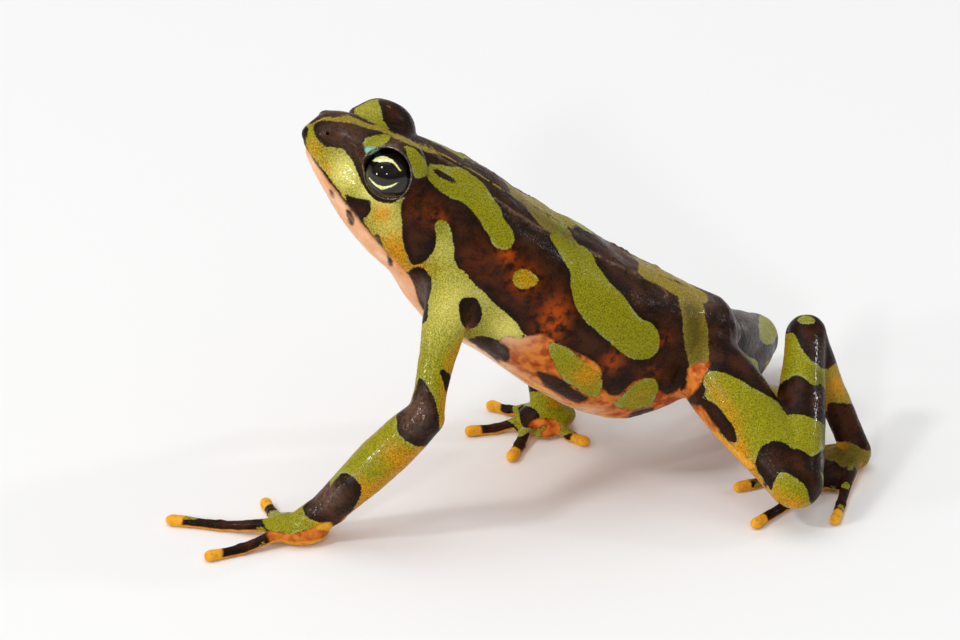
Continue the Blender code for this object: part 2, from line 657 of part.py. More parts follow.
def colour(obj, name, base, roughness):
    """Gives an object its own plain material."""
    material = bpy.data.materials.new(name)
    material.use_nodes = True
    shader = material.node_tree.nodes["Principled BSDF"]
    shader.inputs["Base Color"].default_value = (*base, 1.0)
    shader.inputs["Roughness"].default_value = roughness
    shader.inputs["Metallic"].default_value = 0.0
    obj.data.materials.clear()
    obj.data.materials.append(material)
    obj.data.shade_smooth()
    obj.data.set_sharp_from_angle(angle=np.radians(SHARP_DEG))


def clear_scene():
    """Removes whatever the scene holds."""
    for obj in list(bpy.data.objects):
        bpy.data.objects.remove(obj)


def main():
    clear_scene()
    flesh = [make_head(), make_torso()]
    eyes, digits = [], []
    for side, sign in (("left", 1), ("right", -1)):
        eyes.append(make_eye(side, sign))
        flesh += make_arm(side) + make_leg(side)
        hand, *fingers = make_palm_and_fingers(side)
        foot, *toes = make_foot_and_toes(side)
        flesh += [hand, foot]
        digits += fingers + toes
    for obj in flesh:
        colour(obj, f"{obj.name}_skin", SKIN_GREEN, SKIN_ROUGHNESS)
    for obj in digits:
        colour(obj, f"{obj.name}_skin", TIP_ORANGE, DIGIT_ROUGHNESS)
    for obj in eyes:
        colour(obj, f"{obj.name}_cornea", EYE_BLACK, CORNEA_ROUGHNESS)


main()
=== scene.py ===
"""A variable harlequin frog, Atelopus varius, at life size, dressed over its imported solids.

One seamless skin stands for the head, trunk, limbs and digits, with two wet eyes set in its lids. Sizes
are in millimetres in the frog's own measuring frame, whose floor is at height zero, and they become
metres from the part's origin when a mesh is made. The frog faces -X and its left side faces -Y.
"""

import logging
from dataclasses import dataclass, field
from enum import Enum

import bmesh
import bpy
import numpy as np
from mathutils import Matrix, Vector
from mathutils.bvhtree import BVHTree


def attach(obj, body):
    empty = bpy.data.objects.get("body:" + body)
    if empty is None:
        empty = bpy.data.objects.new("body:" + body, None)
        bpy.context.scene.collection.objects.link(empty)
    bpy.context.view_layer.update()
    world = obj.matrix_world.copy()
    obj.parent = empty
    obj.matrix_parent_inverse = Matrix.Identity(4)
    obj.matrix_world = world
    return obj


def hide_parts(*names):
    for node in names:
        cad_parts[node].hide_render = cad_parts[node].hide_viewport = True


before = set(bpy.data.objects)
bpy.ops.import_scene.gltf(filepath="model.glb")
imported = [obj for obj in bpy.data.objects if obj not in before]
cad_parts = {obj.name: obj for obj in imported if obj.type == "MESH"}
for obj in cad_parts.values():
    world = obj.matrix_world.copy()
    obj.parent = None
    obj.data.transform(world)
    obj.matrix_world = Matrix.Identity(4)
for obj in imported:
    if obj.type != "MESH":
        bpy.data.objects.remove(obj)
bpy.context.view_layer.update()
MM = 0.001
ORIGIN = np.array((3.5, 13.7, 0.0))
FAR_MM = 2.0
BONE_MM = 12.0
Array = np.ndarray
Knots = tuple[tuple[float, float], ...]
Point = tuple[float, float, float]
Pixels = tuple[tuple[float, float], ...]
Socket = bpy.types.NodeSocket
log = logging.getLogger("harlequin_frog")


class Side(Enum):
    """A flank of the frog, with its sign along the body's leftward direction."""

    LEFT = 1
    RIGHT = -1


class Part(Enum):
    """A length of the body that a marking can be kept to."""

    TRUNK = 0
    UPPER_ARM = 1
    FOREARM = 2
    HAND = 3
    THIGH = 4
    SHANK = 5
    TARSUS = 6
    FOOT = 7


class Pigment(Enum):
    """A colour of the skin, each with its own distance from the marking's edge."""

    DARK = "dark"
    LIME = "lime"
    OLIVE = "olive"
    WARM = "warm"
    PALE = "pale"
    BLUE = "blue"


class Tint(Enum):
    """A soft wash that changes a pigment without an edge."""

    AMBER = "amber"
    CHALK = "chalk"
    RUST = "rust"
    # painted sheen over the dark skin, and a brown tone of its own on the snout, the lid and the throat spots
    BLOOM = "bloom"
    # painted shade on the rump band and the turned side of the shank, and a darker tone on the back band and the
    # foot
    SHADE = "shade"
    WET = "wet"


def unit(vector: Array) -> Array:
    """The vector, or each row of vectors, divided by its length."""
    vector = np.asarray(vector, float)
    return vector / (np.linalg.norm(vector, axis=-1, keepdims=True) + 1e-12)


def ease(value: Array, low: float, high: float) -> Array:
    """Zero below low, one above high, and 3t^2 - 2t^3 of the way between them."""
    t = np.clip((np.asarray(value, float) - low) / (high - low), 0.0, 1.0)
    return t * t * (3.0 - 2.0 * t)


def bell(value: Array, width: float) -> Array:
    """exp(-(value / width)^2)."""
    return np.exp(-np.minimum((np.asarray(value, float) / width) ** 2, 60.0))


def curve_at(knots: Knots, at: Array) -> Array:
    """A smooth line through named knots, read at any number of places.

    Between two knots it is the cubic that meets both values and both slopes, where a knot's slope is the
    central difference of its neighbours.

    Args:
        knots: pairs of place and value, in order of place.
        at: the places to read.

    Returns:
        The line's values at those places.
    """
    places, values = np.array(knots, float).T
    slopes = np.gradient(values, places)
    at = np.clip(np.asarray(at, float), places[0], places[-1])
    i = np.clip(np.searchsorted(places, at, "right") - 1, 0, len(places) - 2)
    step = places[i + 1] - places[i]
    t = (at - places[i]) / step
    rise = values[i + 1] - values[i]
    start, end = slopes[i] * step, slopes[i + 1] * step
    return values[i] + t * (start + t * (3 * rise - 2 * start - end + t * (start + end - 2 * rise)))


def smooth_noise(points: Array, scale: float, seed: int) -> Array:
    """Gradient noise of about -1 to 1 at any points.

    Each corner of the unit cell that holds a point has a random unit gradient; the noise is the sum over
    the eight corners of (gradient . offset from the corner), weighted by 6t^5 - 15t^4 + 10t^3 per axis.

    Args:
        points: rows of x, y and z.
        scale: the size of one cell.
        seed: which noise of many.

    Returns:
        One value a point.
    """
    gradients = unit(np.random.default_rng(seed).normal(size=(256, 3)))
    cell = np.floor(points / scale).astype(np.int64)
    part = points / scale - cell
    fade = part ** 3 * (part * (part * 6 - 15) + 10)
    total = np.zeros(len(points))
    for corner in np.ndindex(2, 2, 2):
        at = cell + corner
        index = (at[:, 0] * 73856093 ^ at[:, 1] * 19349663 ^ at[:, 2] * 83492791) & 255
        weight = np.prod(np.where(corner, fade, 1 - fade), axis=1)
        total += weight * np.einsum("ij,ij->i", gradients[index], part - corner)
    return 1.6 * total


def drift(points: Array, scale: float, amount: float, seed: int) -> Array:
    """A smooth random shift of each point: amount times three gradient noises."""
    return amount * np.stack([smooth_noise(points, scale, seed + axis) for axis in range(3)], -1)


def rounded_outline(corners: Array, steps: int = 4) -> Array:
    """A closed outline through its corners, rounded by the cubic of Catmull and Rom between each two.

    Args:
        corners: rows of the outline's corners.
        steps: points for each side.

    Returns:
        The corners and the points between them, in order.
    """
    before, after, beyond = np.roll(corners, 1, 0), np.roll(corners, -1, 0), np.roll(corners, -2, 0)
    t = (np.arange(steps) / steps)[None, :, None]
    p0, p1, p2, p3 = before[:, None], corners[:, None], after[:, None], beyond[:, None]
    curve = 2 * p1 + (p2 - p0) * t + (2 * p0 - 5 * p1 + 4 * p2 - p3) * t ** 2 + (3 * p1 - p0 - 3 * p2 + p3) * t ** 3
    return 0.5 * curve.reshape(-1, corners.shape[1])


def inside_outline(points: Array, corners: Array) -> Array:
    """The distance of flat points from a closed outline, above zero inside it.

    The distance is the least over the outline's sides of |p - a - t (b - a)|, with t held from 0 to 1,
    and a point is inside where a level ray from it crosses an odd number of sides.

    Args:
        points: rows of two coordinates.
        corners: the outline's corners in order.

    Returns:
        One signed distance a point.
    """
    start, end = corners, np.roll(corners, -1, axis=0)
    side = end - start
    reach = points[:, None] - start[None]
    t = np.clip((reach * side).sum(-1) / ((side * side).sum(-1) + 1e-12), 0, 1)
    gap = np.linalg.norm(reach - t[..., None] * side, axis=-1).min(axis=1)
    level = points[:, 1, None]
    across = (start[:, 1] > level) != (end[:, 1] > level)
    rise = np.where(np.abs(side[:, 1]) < 1e-9, 1e-9, side[:, 1])
    left = points[:, 0, None] < side[:, 0] * (level - start[:, 1]) / rise + start[:, 0]
    odd = (across & left).sum(axis=1) % 2 == 1
    return np.where(odd, gap, -gap)


def distance_to_path(points: Array, path: Array) -> tuple[Array, Array]:
    """How far each point lies from a line of straight pieces, and how far along it the nearest place is.

    Args:
        points: rows of coordinates.
        path: rows of the line's points.

    Returns:
        The distances, and the piece's number plus the share of it gone.
    """
    best = np.full(len(points), 1e9)
    place = np.zeros(len(points))
    for number, (start, end) in enumerate(zip(path[:-1], path[1:])):
        side = end - start
        t = np.clip((points - start) @ side / (side @ side), 0, 1)
        gap = np.linalg.norm(points - start - t[:, None] * side, axis=1)
        nearer = gap < best
        best = np.where(nearer, gap, best)
        place = np.where(nearer, number + t, place)
    return best, place


def placed(points: Array) -> Array:
    """Points of the measuring frame as metres from the part's origin."""
    return (np.asarray(points, float) - ORIGIN) * MM


@dataclass
class Surface:
    """A closed surface: its vertices in millimetres, its quads and its triangles."""

    vertices: Array
    quads: Array
    triangles: Array

    @classmethod
    def loft(cls, rings: Array, first: Array, last: Array) -> "Surface":
        """A skin over a grid of rings, closed to a point at each end.

        Vertex (r, k) of the grid is joined to (r, k + 1), (r + 1, k + 1) and (r + 1, k), with k going round.

        Args:
            rings: an array of ring, place round the ring, and x, y, z.
            first: the point that closes the first ring.
            last: the point that closes the last ring.

        Returns:
            The closed surface.
        """
        count, sides = rings.shape[:2]
        index = np.arange(count * sides).reshape(count, sides)
        after = np.roll(index, -1, axis=1)
        quads = np.stack([index[:-1], after[:-1], after[1:], index[1:]], -1).reshape(-1, 4)
        start = np.full(sides, count * sides)
        caps = [np.stack([start, after[0], index[0]], -1), np.stack([start + 1, index[-1], after[-1]], -1)]
        return cls(np.vstack([rings.reshape(-1, 3), first, last]), quads, np.vstack(caps))

    @classmethod
    def ellipsoid(cls, centre: Array, half_size: Array, axes: Array, rings: int = 40, sides: int = 64) -> "Surface":
        """An ellipsoid with its pole on the first axis: c + a cos p e1 + sin p (b cos t e2 + c sin t e3).

        Args:
            centre: the middle.
            half_size: half the size along each axis.
            axes: three unit rows.
            rings: steps from pole to pole.
            sides: steps round.

        Returns:
            The closed surface.
        """
        axes, half_size, centre = np.array(axes, float), np.array(half_size, float), np.array(centre, float)
        polar = np.linspace(0, np.pi, rings + 2)[1:-1, None]
        turn = np.linspace(0, 2 * np.pi, sides, endpoint=False)[None, :]
        local = np.stack([np.cos(polar) + 0 * turn, np.sin(polar) * np.cos(turn), np.sin(polar) * np.sin(turn)], -1)
        tip = half_size[0] * axes[0]
        return cls.loft(centre + (local * half_size) @ axes, centre + tip, centre - tip)

    @classmethod
    def tube(cls, path: Array, radii: tuple[float, ...], upright: Point = (0, 0, 1), flat: float = 1.0,
             rings: int = 40, sides: int = 28) -> "Surface":
        """A round-ended tube along a smooth path: c(s) + r(s) (cos t across + flat sin t rise).

        Args:
            path: points that the tube's middle passes through.
            radii: thickness at even steps of the path's length.
            upright: the direction that the section's height is measured along.
            flat: the section's height over its breadth.
            rings: steps along the tube.
            sides: steps round it.

        Returns:
            The closed surface.
        """
        path = np.array(path, float)
        gone = np.concatenate([[0], np.cumsum(np.linalg.norm(np.diff(path, axis=0), axis=1))])
        length = gone[-1]
        cap = np.sin(np.linspace(0, np.pi / 2, 9))[1:-1]
        along = np.concatenate([-radii[0] * cap[::-1], np.linspace(0, length, rings), length + radii[-1] * cap])
        shrink = np.sqrt(1 - np.concatenate([cap[::-1], np.zeros(rings), cap]) ** 2)
        inside = np.clip(along, 0, length)

        def middle(at: Array) -> Array:
            """The path's points at these distances."""
            at = np.clip(at, 0, length)
            return np.stack([curve_at(tuple(zip(gone, path[:, axis])), at) for axis in range(3)], -1)

        tangents = unit(middle(inside + 0.05) - middle(inside - 0.05))
        centres = middle(inside) + (along - inside)[:, None] * tangents
        thick = curve_at(tuple(zip(np.linspace(0, length, len(radii)), radii)), inside) * shrink
        across = unit(np.cross(tangents, np.array(upright, float)))
        rise = np.cross(across, tangents)
        turn = np.linspace(0, 2 * np.pi, sides, endpoint=False)[None, :, None]
        section = np.cos(turn) * across[:, None] + flat * np.sin(turn) * rise[:, None]
        grid = centres[:, None] + thick[:, None, None] * section
        first = centres[0] - radii[0] * (1 - cap[-1]) * tangents[0]
        last = centres[-1] + radii[-1] * (1 - cap[-1]) * tangents[-1]
        return cls.loft(grid, first, last)

    def object(self, name: str, final: bool = True) -> bpy.types.Object:
        """The surface as a mesh object at the origin, with its faces turned outwards.

        Args:
            name: the object's name.
            final: whether the mesh is placed in metres; otherwise it stays in millimetres.

        Returns:
            The new object, linked to the scene.
        """
        mesh = bpy.data.meshes.new(name)
        vertices = placed(self.vertices) if final else self.vertices
        mesh.from_pydata(vertices.tolist(), [], self.quads.tolist() + self.triangles.tolist())
        shape = bmesh.new()
        shape.from_mesh(mesh)
        bmesh.ops.recalc_face_normals(shape, faces=shape.faces)
        shape.to_mesh(mesh)
        shape.free()
        obj = bpy.data.objects.new(name, mesh)
        bpy.context.scene.collection.objects.link(obj)
        return obj


def merged(surfaces: list[Surface]) -> Surface:
    """Several surfaces as one, each with its faces' numbers moved past those before it."""
    starts = np.cumsum([0] + [len(s.vertices) for s in surfaces[:-1]])
    return Surface(
        np.vstack([s.vertices for s in surfaces]),
        np.vstack([s.quads + start for s, start in zip(surfaces, starts)]),
        np.vstack([s.triangles + start for s, start in zip(surfaces, starts)]),
    )


@dataclass(frozen=True)
class PhotoCamera:
    """The view of the photograph: a long lens that looks down at the frog from its left side."""

    target: Point = (0.0, 11.0, 14.5)
    elevation_deg: float = 29.0
    distance: float = 400.0
    focal_px: float = 4880.0
    width_px: float = 960.0
    height_px: float = 640.0
    sensor_mm: float = 36.0

    @property
    def axes(self) -> Array:
        """Unit rows: right, up and back towards the camera."""
        e = np.radians(self.elevation_deg)
        return np.array([(1.0, 0.0, 0.0), (0.0, np.sin(e), np.cos(e)), (0.0, -np.cos(e), np.sin(e))])

    @property
    def place(self) -> Array:
        """Where the camera stands."""
        return np.array(self.target) + self.distance * self.axes[2]

    def ray(self, pixel: tuple[float, float]) -> Array:
        """The direction that a pixel of the photograph looks in."""
        right, up, back = self.axes
        across = (pixel[0] - self.width_px / 2) / self.focal_px
        rise = (self.height_px / 2 - pixel[1]) / self.focal_px
        return unit(across * right + rise * up - back)

    def pixels(self, points: Array) -> Array:
        """Where points would lie in the photograph."""
        right, up, back = self.axes
        reach = points - self.place
        scale = self.focal_px / -(reach @ back)
        return np.stack([self.width_px / 2 + scale * (reach @ right), self.height_px / 2 - scale * (reach @ up)], -1)

    def build(self) -> bpy.types.Object:
        """Makes the camera and gives it to the scene."""
        data = bpy.data.cameras.new("photo_camera")
        data.sensor_width = self.sensor_mm
        data.lens = self.focal_px * self.sensor_mm / self.width_px
        data.clip_start, data.clip_end = 0.01, 50.0
        obj = bpy.data.objects.new("photo_camera", data)
        obj.location = Vector(placed(self.place))
        obj.rotation_euler = (np.radians(90.0 - self.elevation_deg), 0.0, 0.0)
        bpy.context.scene.collection.objects.link(obj)
        bpy.context.scene.camera = obj
        return obj


@dataclass(frozen=True)
class BodyAxis:
    """The pitched line from the snout's tip to the vent that the trunk is measured from."""

    snout_tip: Point = (-14.1, 8.3, 33.2)
    pitch_deg: float = 30.0
    heading_deg: float = 9.0

    @property
    def axes(self) -> Array:
        """Unit rows: backward, upward and leftward."""
        p, h = np.radians(self.pitch_deg), np.radians(self.heading_deg)
        return np.array([
            (np.cos(p) * np.cos(h), np.cos(p) * np.sin(h), -np.sin(p)),
            (np.sin(p) * np.cos(h), np.sin(p) * np.sin(h), np.cos(p)),
            (np.sin(h), -np.cos(h), 0.0),
        ])

    def point(self, along: Array, above: Array, out: Array) -> Array:
        """snout + along backward + above upward + out leftward."""
        parts = np.stack(np.broadcast_arrays(along, above, out), -1).astype(float)
        return np.array(self.snout_tip) + parts @ self.axes

    def measures(self, points: Array) -> tuple[Array, Array, Array]:
        """How far along, above and out each point lies."""
        parts = (np.asarray(points) - np.array(self.snout_tip)) @ self.axes.T
        return parts[..., 0], parts[..., 1], parts[..., 2]


AXIS = BodyAxis()
BACKWARD, UPWARD, LEFTWARD = AXIS.axes


@dataclass
class Trunk:
    """Head and body: one hull of sections square to the body's axis."""

    length: float = 42.0
    back: Knots = ((0.0, 0.35), (0.6, 1.5), (2.0, 2.45), (4.0, 2.95), (8.0, 3.35), (12.0, 3.6), (16.0, 3.2),
                   (20.0, 2.45), (26.0, 1.8), (32.0, 1.2), (37.0, 1.1), (40.0, 1.0), (42.0, -0.3))
    belly: Knots = ((0.0, -0.3), (0.8, -1.0), (1.5, -1.9), (3.0, -3.05), (6.0, -5.05), (9.0, -6.4),
                    (12.0, -7.5), (14.0, -8.8), (17.0, -10.2), (22.0, -10.7), (28.0, -11.8), (33.0, -12.1),
                    (36.5, -11.3), (39.0, -9.0), (41.0, -5.6), (42.0, -3.0))
    half_breadth: Knots = ((0.0, 0.3), (0.6, 1.15), (2.0, 2.2), (4.0, 3.3), (6.6, 4.4), (10.5, 5.2),
                           (13.0, 5.15), (17.0, 5.8), (22.0, 6.6), (27.0, 7.0), (32.0, 6.5), (37.0, 4.9),
                           (40.5, 3.3), (42.0, 1.2))
    widest: Knots = ((0.0, 0.2), (2.0, -0.6), (6.6, -2.2), (10.5, -2.9), (14.0, -2.4), (20.0, -3.6),
                     (28.0, -5.2), (36.0, -5.4), (42.0, -1.8))
    shift: Knots = ((0.0, 0.0), (6.6, 0.65), (12.0, 0.8), (20.0, 0.65), (26.0, 0.3), (32.0, 0.0), (42.0, -0.25))
    upper_square: Knots = ((0.0, 2.2), (1.5, 2.8), (4.0, 2.85), (7.0, 2.6), (10.0, 2.5), (16.0, 2.3), (30.0, 2.25),
                           (42.0, 2.2))
    lower_square: Knots = ((0.0, 2.0), (5.0, 1.9), (12.0, 2.0), (42.0, 2.05))
    step: float = 0.3
    sides: int = 128

    def middle(self, along: Array) -> Array:
        """How far the body's mid-plane is shifted to the left."""
        return curve_at(self.shift, along)

    def section(self, along: Array) -> tuple[Array, Array, Array, Array]:
        """The section's back, belly, widest level and half breadth at each distance."""
        top, bottom = curve_at(self.back, along), curve_at(self.belly, along)
        level = np.clip(curve_at(self.widest, along), bottom + 0.1, top - 0.1)
        return top, bottom, level, curve_at(self.half_breadth, along)

    def surface(self) -> Surface:
        """The hull: at distance a and angle t from the back, out = w |sin t|^(2/n), above = m + h |cos t|^(2/n).

        Returns:
            The closed surface of the hull, with w the half breadth, m the widest level, h the rise or
            fall from it, and n the squareness.
        """
        along = np.arange(0.0, self.length + 0.01, self.step)[:, None]
        turn = np.linspace(0, 2 * np.pi, self.sides, endpoint=False)[None, :]
        top, bottom, level, breadth = self.section(along)
        upper = np.cos(turn) >= 0
        power = 2 / np.where(upper, curve_at(self.upper_square, along), curve_at(self.lower_square, along))
        rise = np.where(upper, top - level, level - bottom)
        out = breadth * np.sign(np.sin(turn)) * np.abs(np.sin(turn)) ** power
        above = level + rise * np.sign(np.cos(turn)) * np.abs(np.cos(turn)) ** power
        rings = AXIS.point(along + 0 * turn, above, out + self.middle(along))
        vent = AXIS.point(self.length + 0.35, 0.5 * (top[-1, 0] + bottom[-1, 0]), self.middle(self.length))
        return Surface.loft(rings, AXIS.point(-0.02, 0.05, 0.0), vent)

    def shares(self, points: Array) -> tuple[Array, Array, Array]:
        """Where points lie in their section.

        Args:
            points: rows of x, y and z.

        Returns:
            The distance along, the height as a share of the rise or fall from the widest level, and the
            distance out as a share of the half breadth.
        """
        along, above, out = AXIS.measures(points)
        top, bottom, level, breadth = self.section(along)
        rise = np.where(above > level, top - level, level - bottom)
        return along, (above - level) / rise, (out - self.middle(along)) / breadth

    def clearance(self, points: Array) -> Array:
        """About how far points lie outside the hull: (|height share|^n + |breadth share|^n)^(1/n) - 1, in mm."""
        along, height, breadth = self.shares(points)
        beyond = np.maximum(along - self.length, 0) + np.maximum(-along, 0)
        return (np.sqrt(height ** 2 + breadth ** 2) - 1) * curve_at(self.half_breadth, along) + beyond

    def mirrored(self, points: Array) -> Array:
        """Points carried across the body's mid-plane: out becomes twice the shift less out."""
        along, above, out = AXIS.measures(points)
        return AXIS.point(along, above, 2 * self.middle(along) - out)


@dataclass
class Face:
    """What the head carries: lids, rims, nostrils, mouth, lips and the ridge from nostril to eye."""

    trunk: Trunk
    eye_along: float = 6.6
    eye_above: float = 1.35
    eye_out: float = 3.7
    socket_radius: float = 1.97
    lid_offset: Point = (0.1, 0.55, -0.42)
    lid_half_size: Point = (2.75, 2.45, 2.3)
    opening: float = 1.93
    gaze_right: float = -0.20
    gaze_up: float = 0.07
    nostril_along: float = 1.35
    nostril_above: float = 1.25
    nostril_out: float = 1.5
    nostril_swell: float = 0.33
    nostril_pit: Point = (0.60, 0.17, 0.14)
    pit_offset: float = 0.5
    mouth: Knots = ((1.0, -1.1), (2.0, -1.55), (5.0, -2.75), (8.0, -3.95), (10.4, -4.9), (12.0, -5.3))
    mouth_corner: float = 10.3

    def eye(self, side: Side) -> Array:
        """The middle of an eyeball."""
        middle = self.trunk.middle(self.eye_along)
        return AXIS.point(self.eye_along, self.eye_above, middle + side.value * self.eye_out)

    def gaze(self, side: Side) -> Array:
        """The direction an eye looks in: outwards, forwards and up, mirrored on the right."""
        right, up, back = PhotoCamera().axes
        left = unit(self.gaze_right * right + self.gaze_up * up + back)
        return left if side is Side.LEFT else left - 2 * (left @ LEFTWARD) * LEFTWARD

    def nostril(self, side: Side) -> Array:
        """The middle of a nostril's swelling."""
        middle = self.trunk.middle(self.nostril_along)
        return AXIS.point(self.nostril_along, self.nostril_above, middle + side.value * self.nostril_out)

    def pit(self, side: Side) -> Surface:
        """A nostril's opening, a slim hollow that looks outwards, forwards and up."""
        direction = unit(side.value * LEFTWARD - 0.5 * BACKWARD + 0.5 * UPWARD)
        across = unit(np.cross(direction, UPWARD))
        axes = (direction, across, np.cross(direction, across))
        return Surface.ellipsoid(self.nostril(side) + self.pit_offset * direction, self.nostril_pit, axes, 24, 24)

    def surfaces(self) -> list[Surface]:
        """The lids and the nostrils' swellings on both sides."""
        axes = (BACKWARD, UPWARD, LEFTWARD)
        forms = []
        for side in Side:
            along, above, out = self.lid_offset
            lid = self.eye(side) + along * BACKWARD + above * UPWARD + side.value * out * LEFTWARD
            forms.append(Surface.ellipsoid(lid, self.lid_half_size, axes))
            forms.append(Surface.ellipsoid(self.nostril(side), (self.nostril_swell,) * 3, axes, 16, 24))
        return forms

    def cutters(self) -> list[Surface]:
        """The balls that open the sockets and the nostrils."""
        axes = (BACKWARD, UPWARD, LEFTWARD)
        sockets = [Surface.ellipsoid(self.eye(side), (self.socket_radius,) * 3, axes, 60, 96) for side in Side]
        for side in Side:
            path = (self.eye(side), self.eye(side) + 4.0 * self.gaze(side))
            sockets.append(Surface.tube(path, (self.opening, self.opening), sides=96))
        return sockets + [self.pit(side) for side in Side]

    def relief(self, points: Array) -> Array:
        """How far the face stands out of the hull, in mm.

        A groove and two lips are bells of the distance from the mouth's line; the ridge from nostril to
        eye and the hollow under it are bells of the height share.

        Args:
            points: the skin's points.

        Returns:
            One height a point, which is zero away from the face.
        """
        along, above, _ = AXIS.measures(points)
        _, height, breadth = self.trunk.shares(points)
        below = above - curve_at(self.mouth, np.maximum(along, 1.0))
        reach = ease(along, 0.35, 0.9) * (1 - ease(along, self.mouth_corner - 0.6, self.mouth_corner + 0.4))
        lips = 0.13 * bell(below - 0.34, 0.22) + 0.09 * bell(below + 0.34, 0.2) - 0.3 * bell(below, 0.11)
        snout = ease(along, 0.6, 1.6) * (1 - ease(along, 4.4, 5.6)) * (np.abs(breadth) > 0.2)
        ridge = 0.36 * bell(height - 0.72, 0.15) - 0.3 * bell(height - 0.36, 0.2)
        return reach * lips + snout * ridge


@dataclass
class Limb:
    """One arm or leg: its joints from the trunk outwards, and the flesh round each bone."""

    side: Side
    parts: tuple[Part, ...]
    joints: tuple[Point, ...]
    flesh: tuple[tuple[float, ...], ...]
    uprights: tuple[Point, ...]

    @property
    def path(self) -> Array:
        """The joints as an array."""
        return np.array(self.joints, float)

    def surfaces(self) -> list[Surface]:
        """A round-ended tube for each bone."""
        spans = zip(self.joints[:-1], self.joints[1:], self.flesh, self.uprights)
        return [Surface.tube((start, end), radii, upright) for start, end, radii, upright in spans]


@dataclass
class Digit:
    """One finger or toe, from the root of the hand or foot over its knuckle to its tip on the floor."""

    root: Point
    knuckle: Point
    tip: tuple[float, float]
    radii: tuple[float, ...]
    lying: float = 0.42
    bulb: float = 1.12

    @property
    def path(self) -> Array:
        """Root, knuckle, half way and tip."""
        half = 0.5 * (np.array(self.knuckle[:2]) + np.array(self.tip))
        return np.array([self.root, self.knuckle, (*half, self.lying), (*self.tip, self.lying)])

    def surfaces(self) -> list[Surface]:
        """The digit as a tube with a round swelling at its tip and a low one half way from its knuckle to its tip.
        """
        path = self.path
        along = unit(path[3] - path[2])
        across = np.cross((0.0, 0.0, 1.0), along)
        axes = (along, across, (0.0, 0.0, 1.0))
        size = self.bulb * self.radii[-1]
        forms = [Surface.tube(path, self.radii, rings=36, sides=20)]
        forms.append(Surface.ellipsoid(path[3], (1.25 * size, size, 0.9 * size), axes, 16, 24))
        forms.append(Surface.ellipsoid(path[2], (1.1 * size, size, size), axes, 16, 24))
        return forms


@dataclass
class Extremity:
    """A hand or a foot: a low pad of flesh with its digits and the webs between their roots."""

    side: Side
    part: Part
    pads: list[tuple[Point, Point, Array]]
    digits: list[Digit]
    joint: Point
    stems: list[tuple[tuple[Point, Point], tuple[float, ...]]]

    def surfaces(self) -> list[Surface]:
        """The pads, the stem to the wrist or ankle, the digits and their webs."""
        forms = [Surface.ellipsoid(centre, half, axes, 30, 48) for centre, half, axes in self.pads]
        forms += [Surface.tube(path, radii, upright=(0, 1, 0), rings=12) for path, radii in self.stems]
        for digit in self.digits:
            forms += digit.surfaces()
        for one, other in zip(self.digits[:-1], self.digits[1:]):
            forms.append(self.web(one, other))
        return forms

    @staticmethod
    def web(one: Digit, other: Digit) -> Surface:
        """A thin fold of skin between two digits, as a flat lens between their knuckles."""
        first, second = one.path, other.path
        root = 0.5 * (first[0] + second[0])
        ahead = 0.5 * (first[1] + second[1])
        forward = unit((ahead - root) * (1, 1, 0))
        across = np.cross((0.0, 0.0, 1.0), forward)
        breadth = 0.5 * np.linalg.norm(first[1] - second[1]) + 0.1
        centre = (*(0.25 * root + 0.75 * ahead)[:2], 0.45)
        return Surface.ellipsoid(centre, (1.3, breadth, 0.26), (forward, across, (0, 0, 1)), 16, 24)


UPPER_ARM_FLESH = (1.95, 1.95, 1.75, 1.5, 1.35, 1.5)
FOREARM_FLESH = (1.6, 1.85, 1.9, 1.8, 1.6, 1.45)
THIGH_FLESH = (2.9, 3.1, 3.05, 2.8, 2.5, 2.3)
SHANK_FLESH = (2.2, 2.25, 2.15, 1.95, 1.75, 1.7)
TARSUS_FLESH = (1.65, 1.5, 1.35, 1.3, 1.25, 1.25)
FINGER_RADII = (0.8, 0.62, 0.5, 0.47, 0.5)
TOE_RADII = (0.75, 0.6, 0.48, 0.45, 0.48)
LEVEL = np.eye(3)[2]


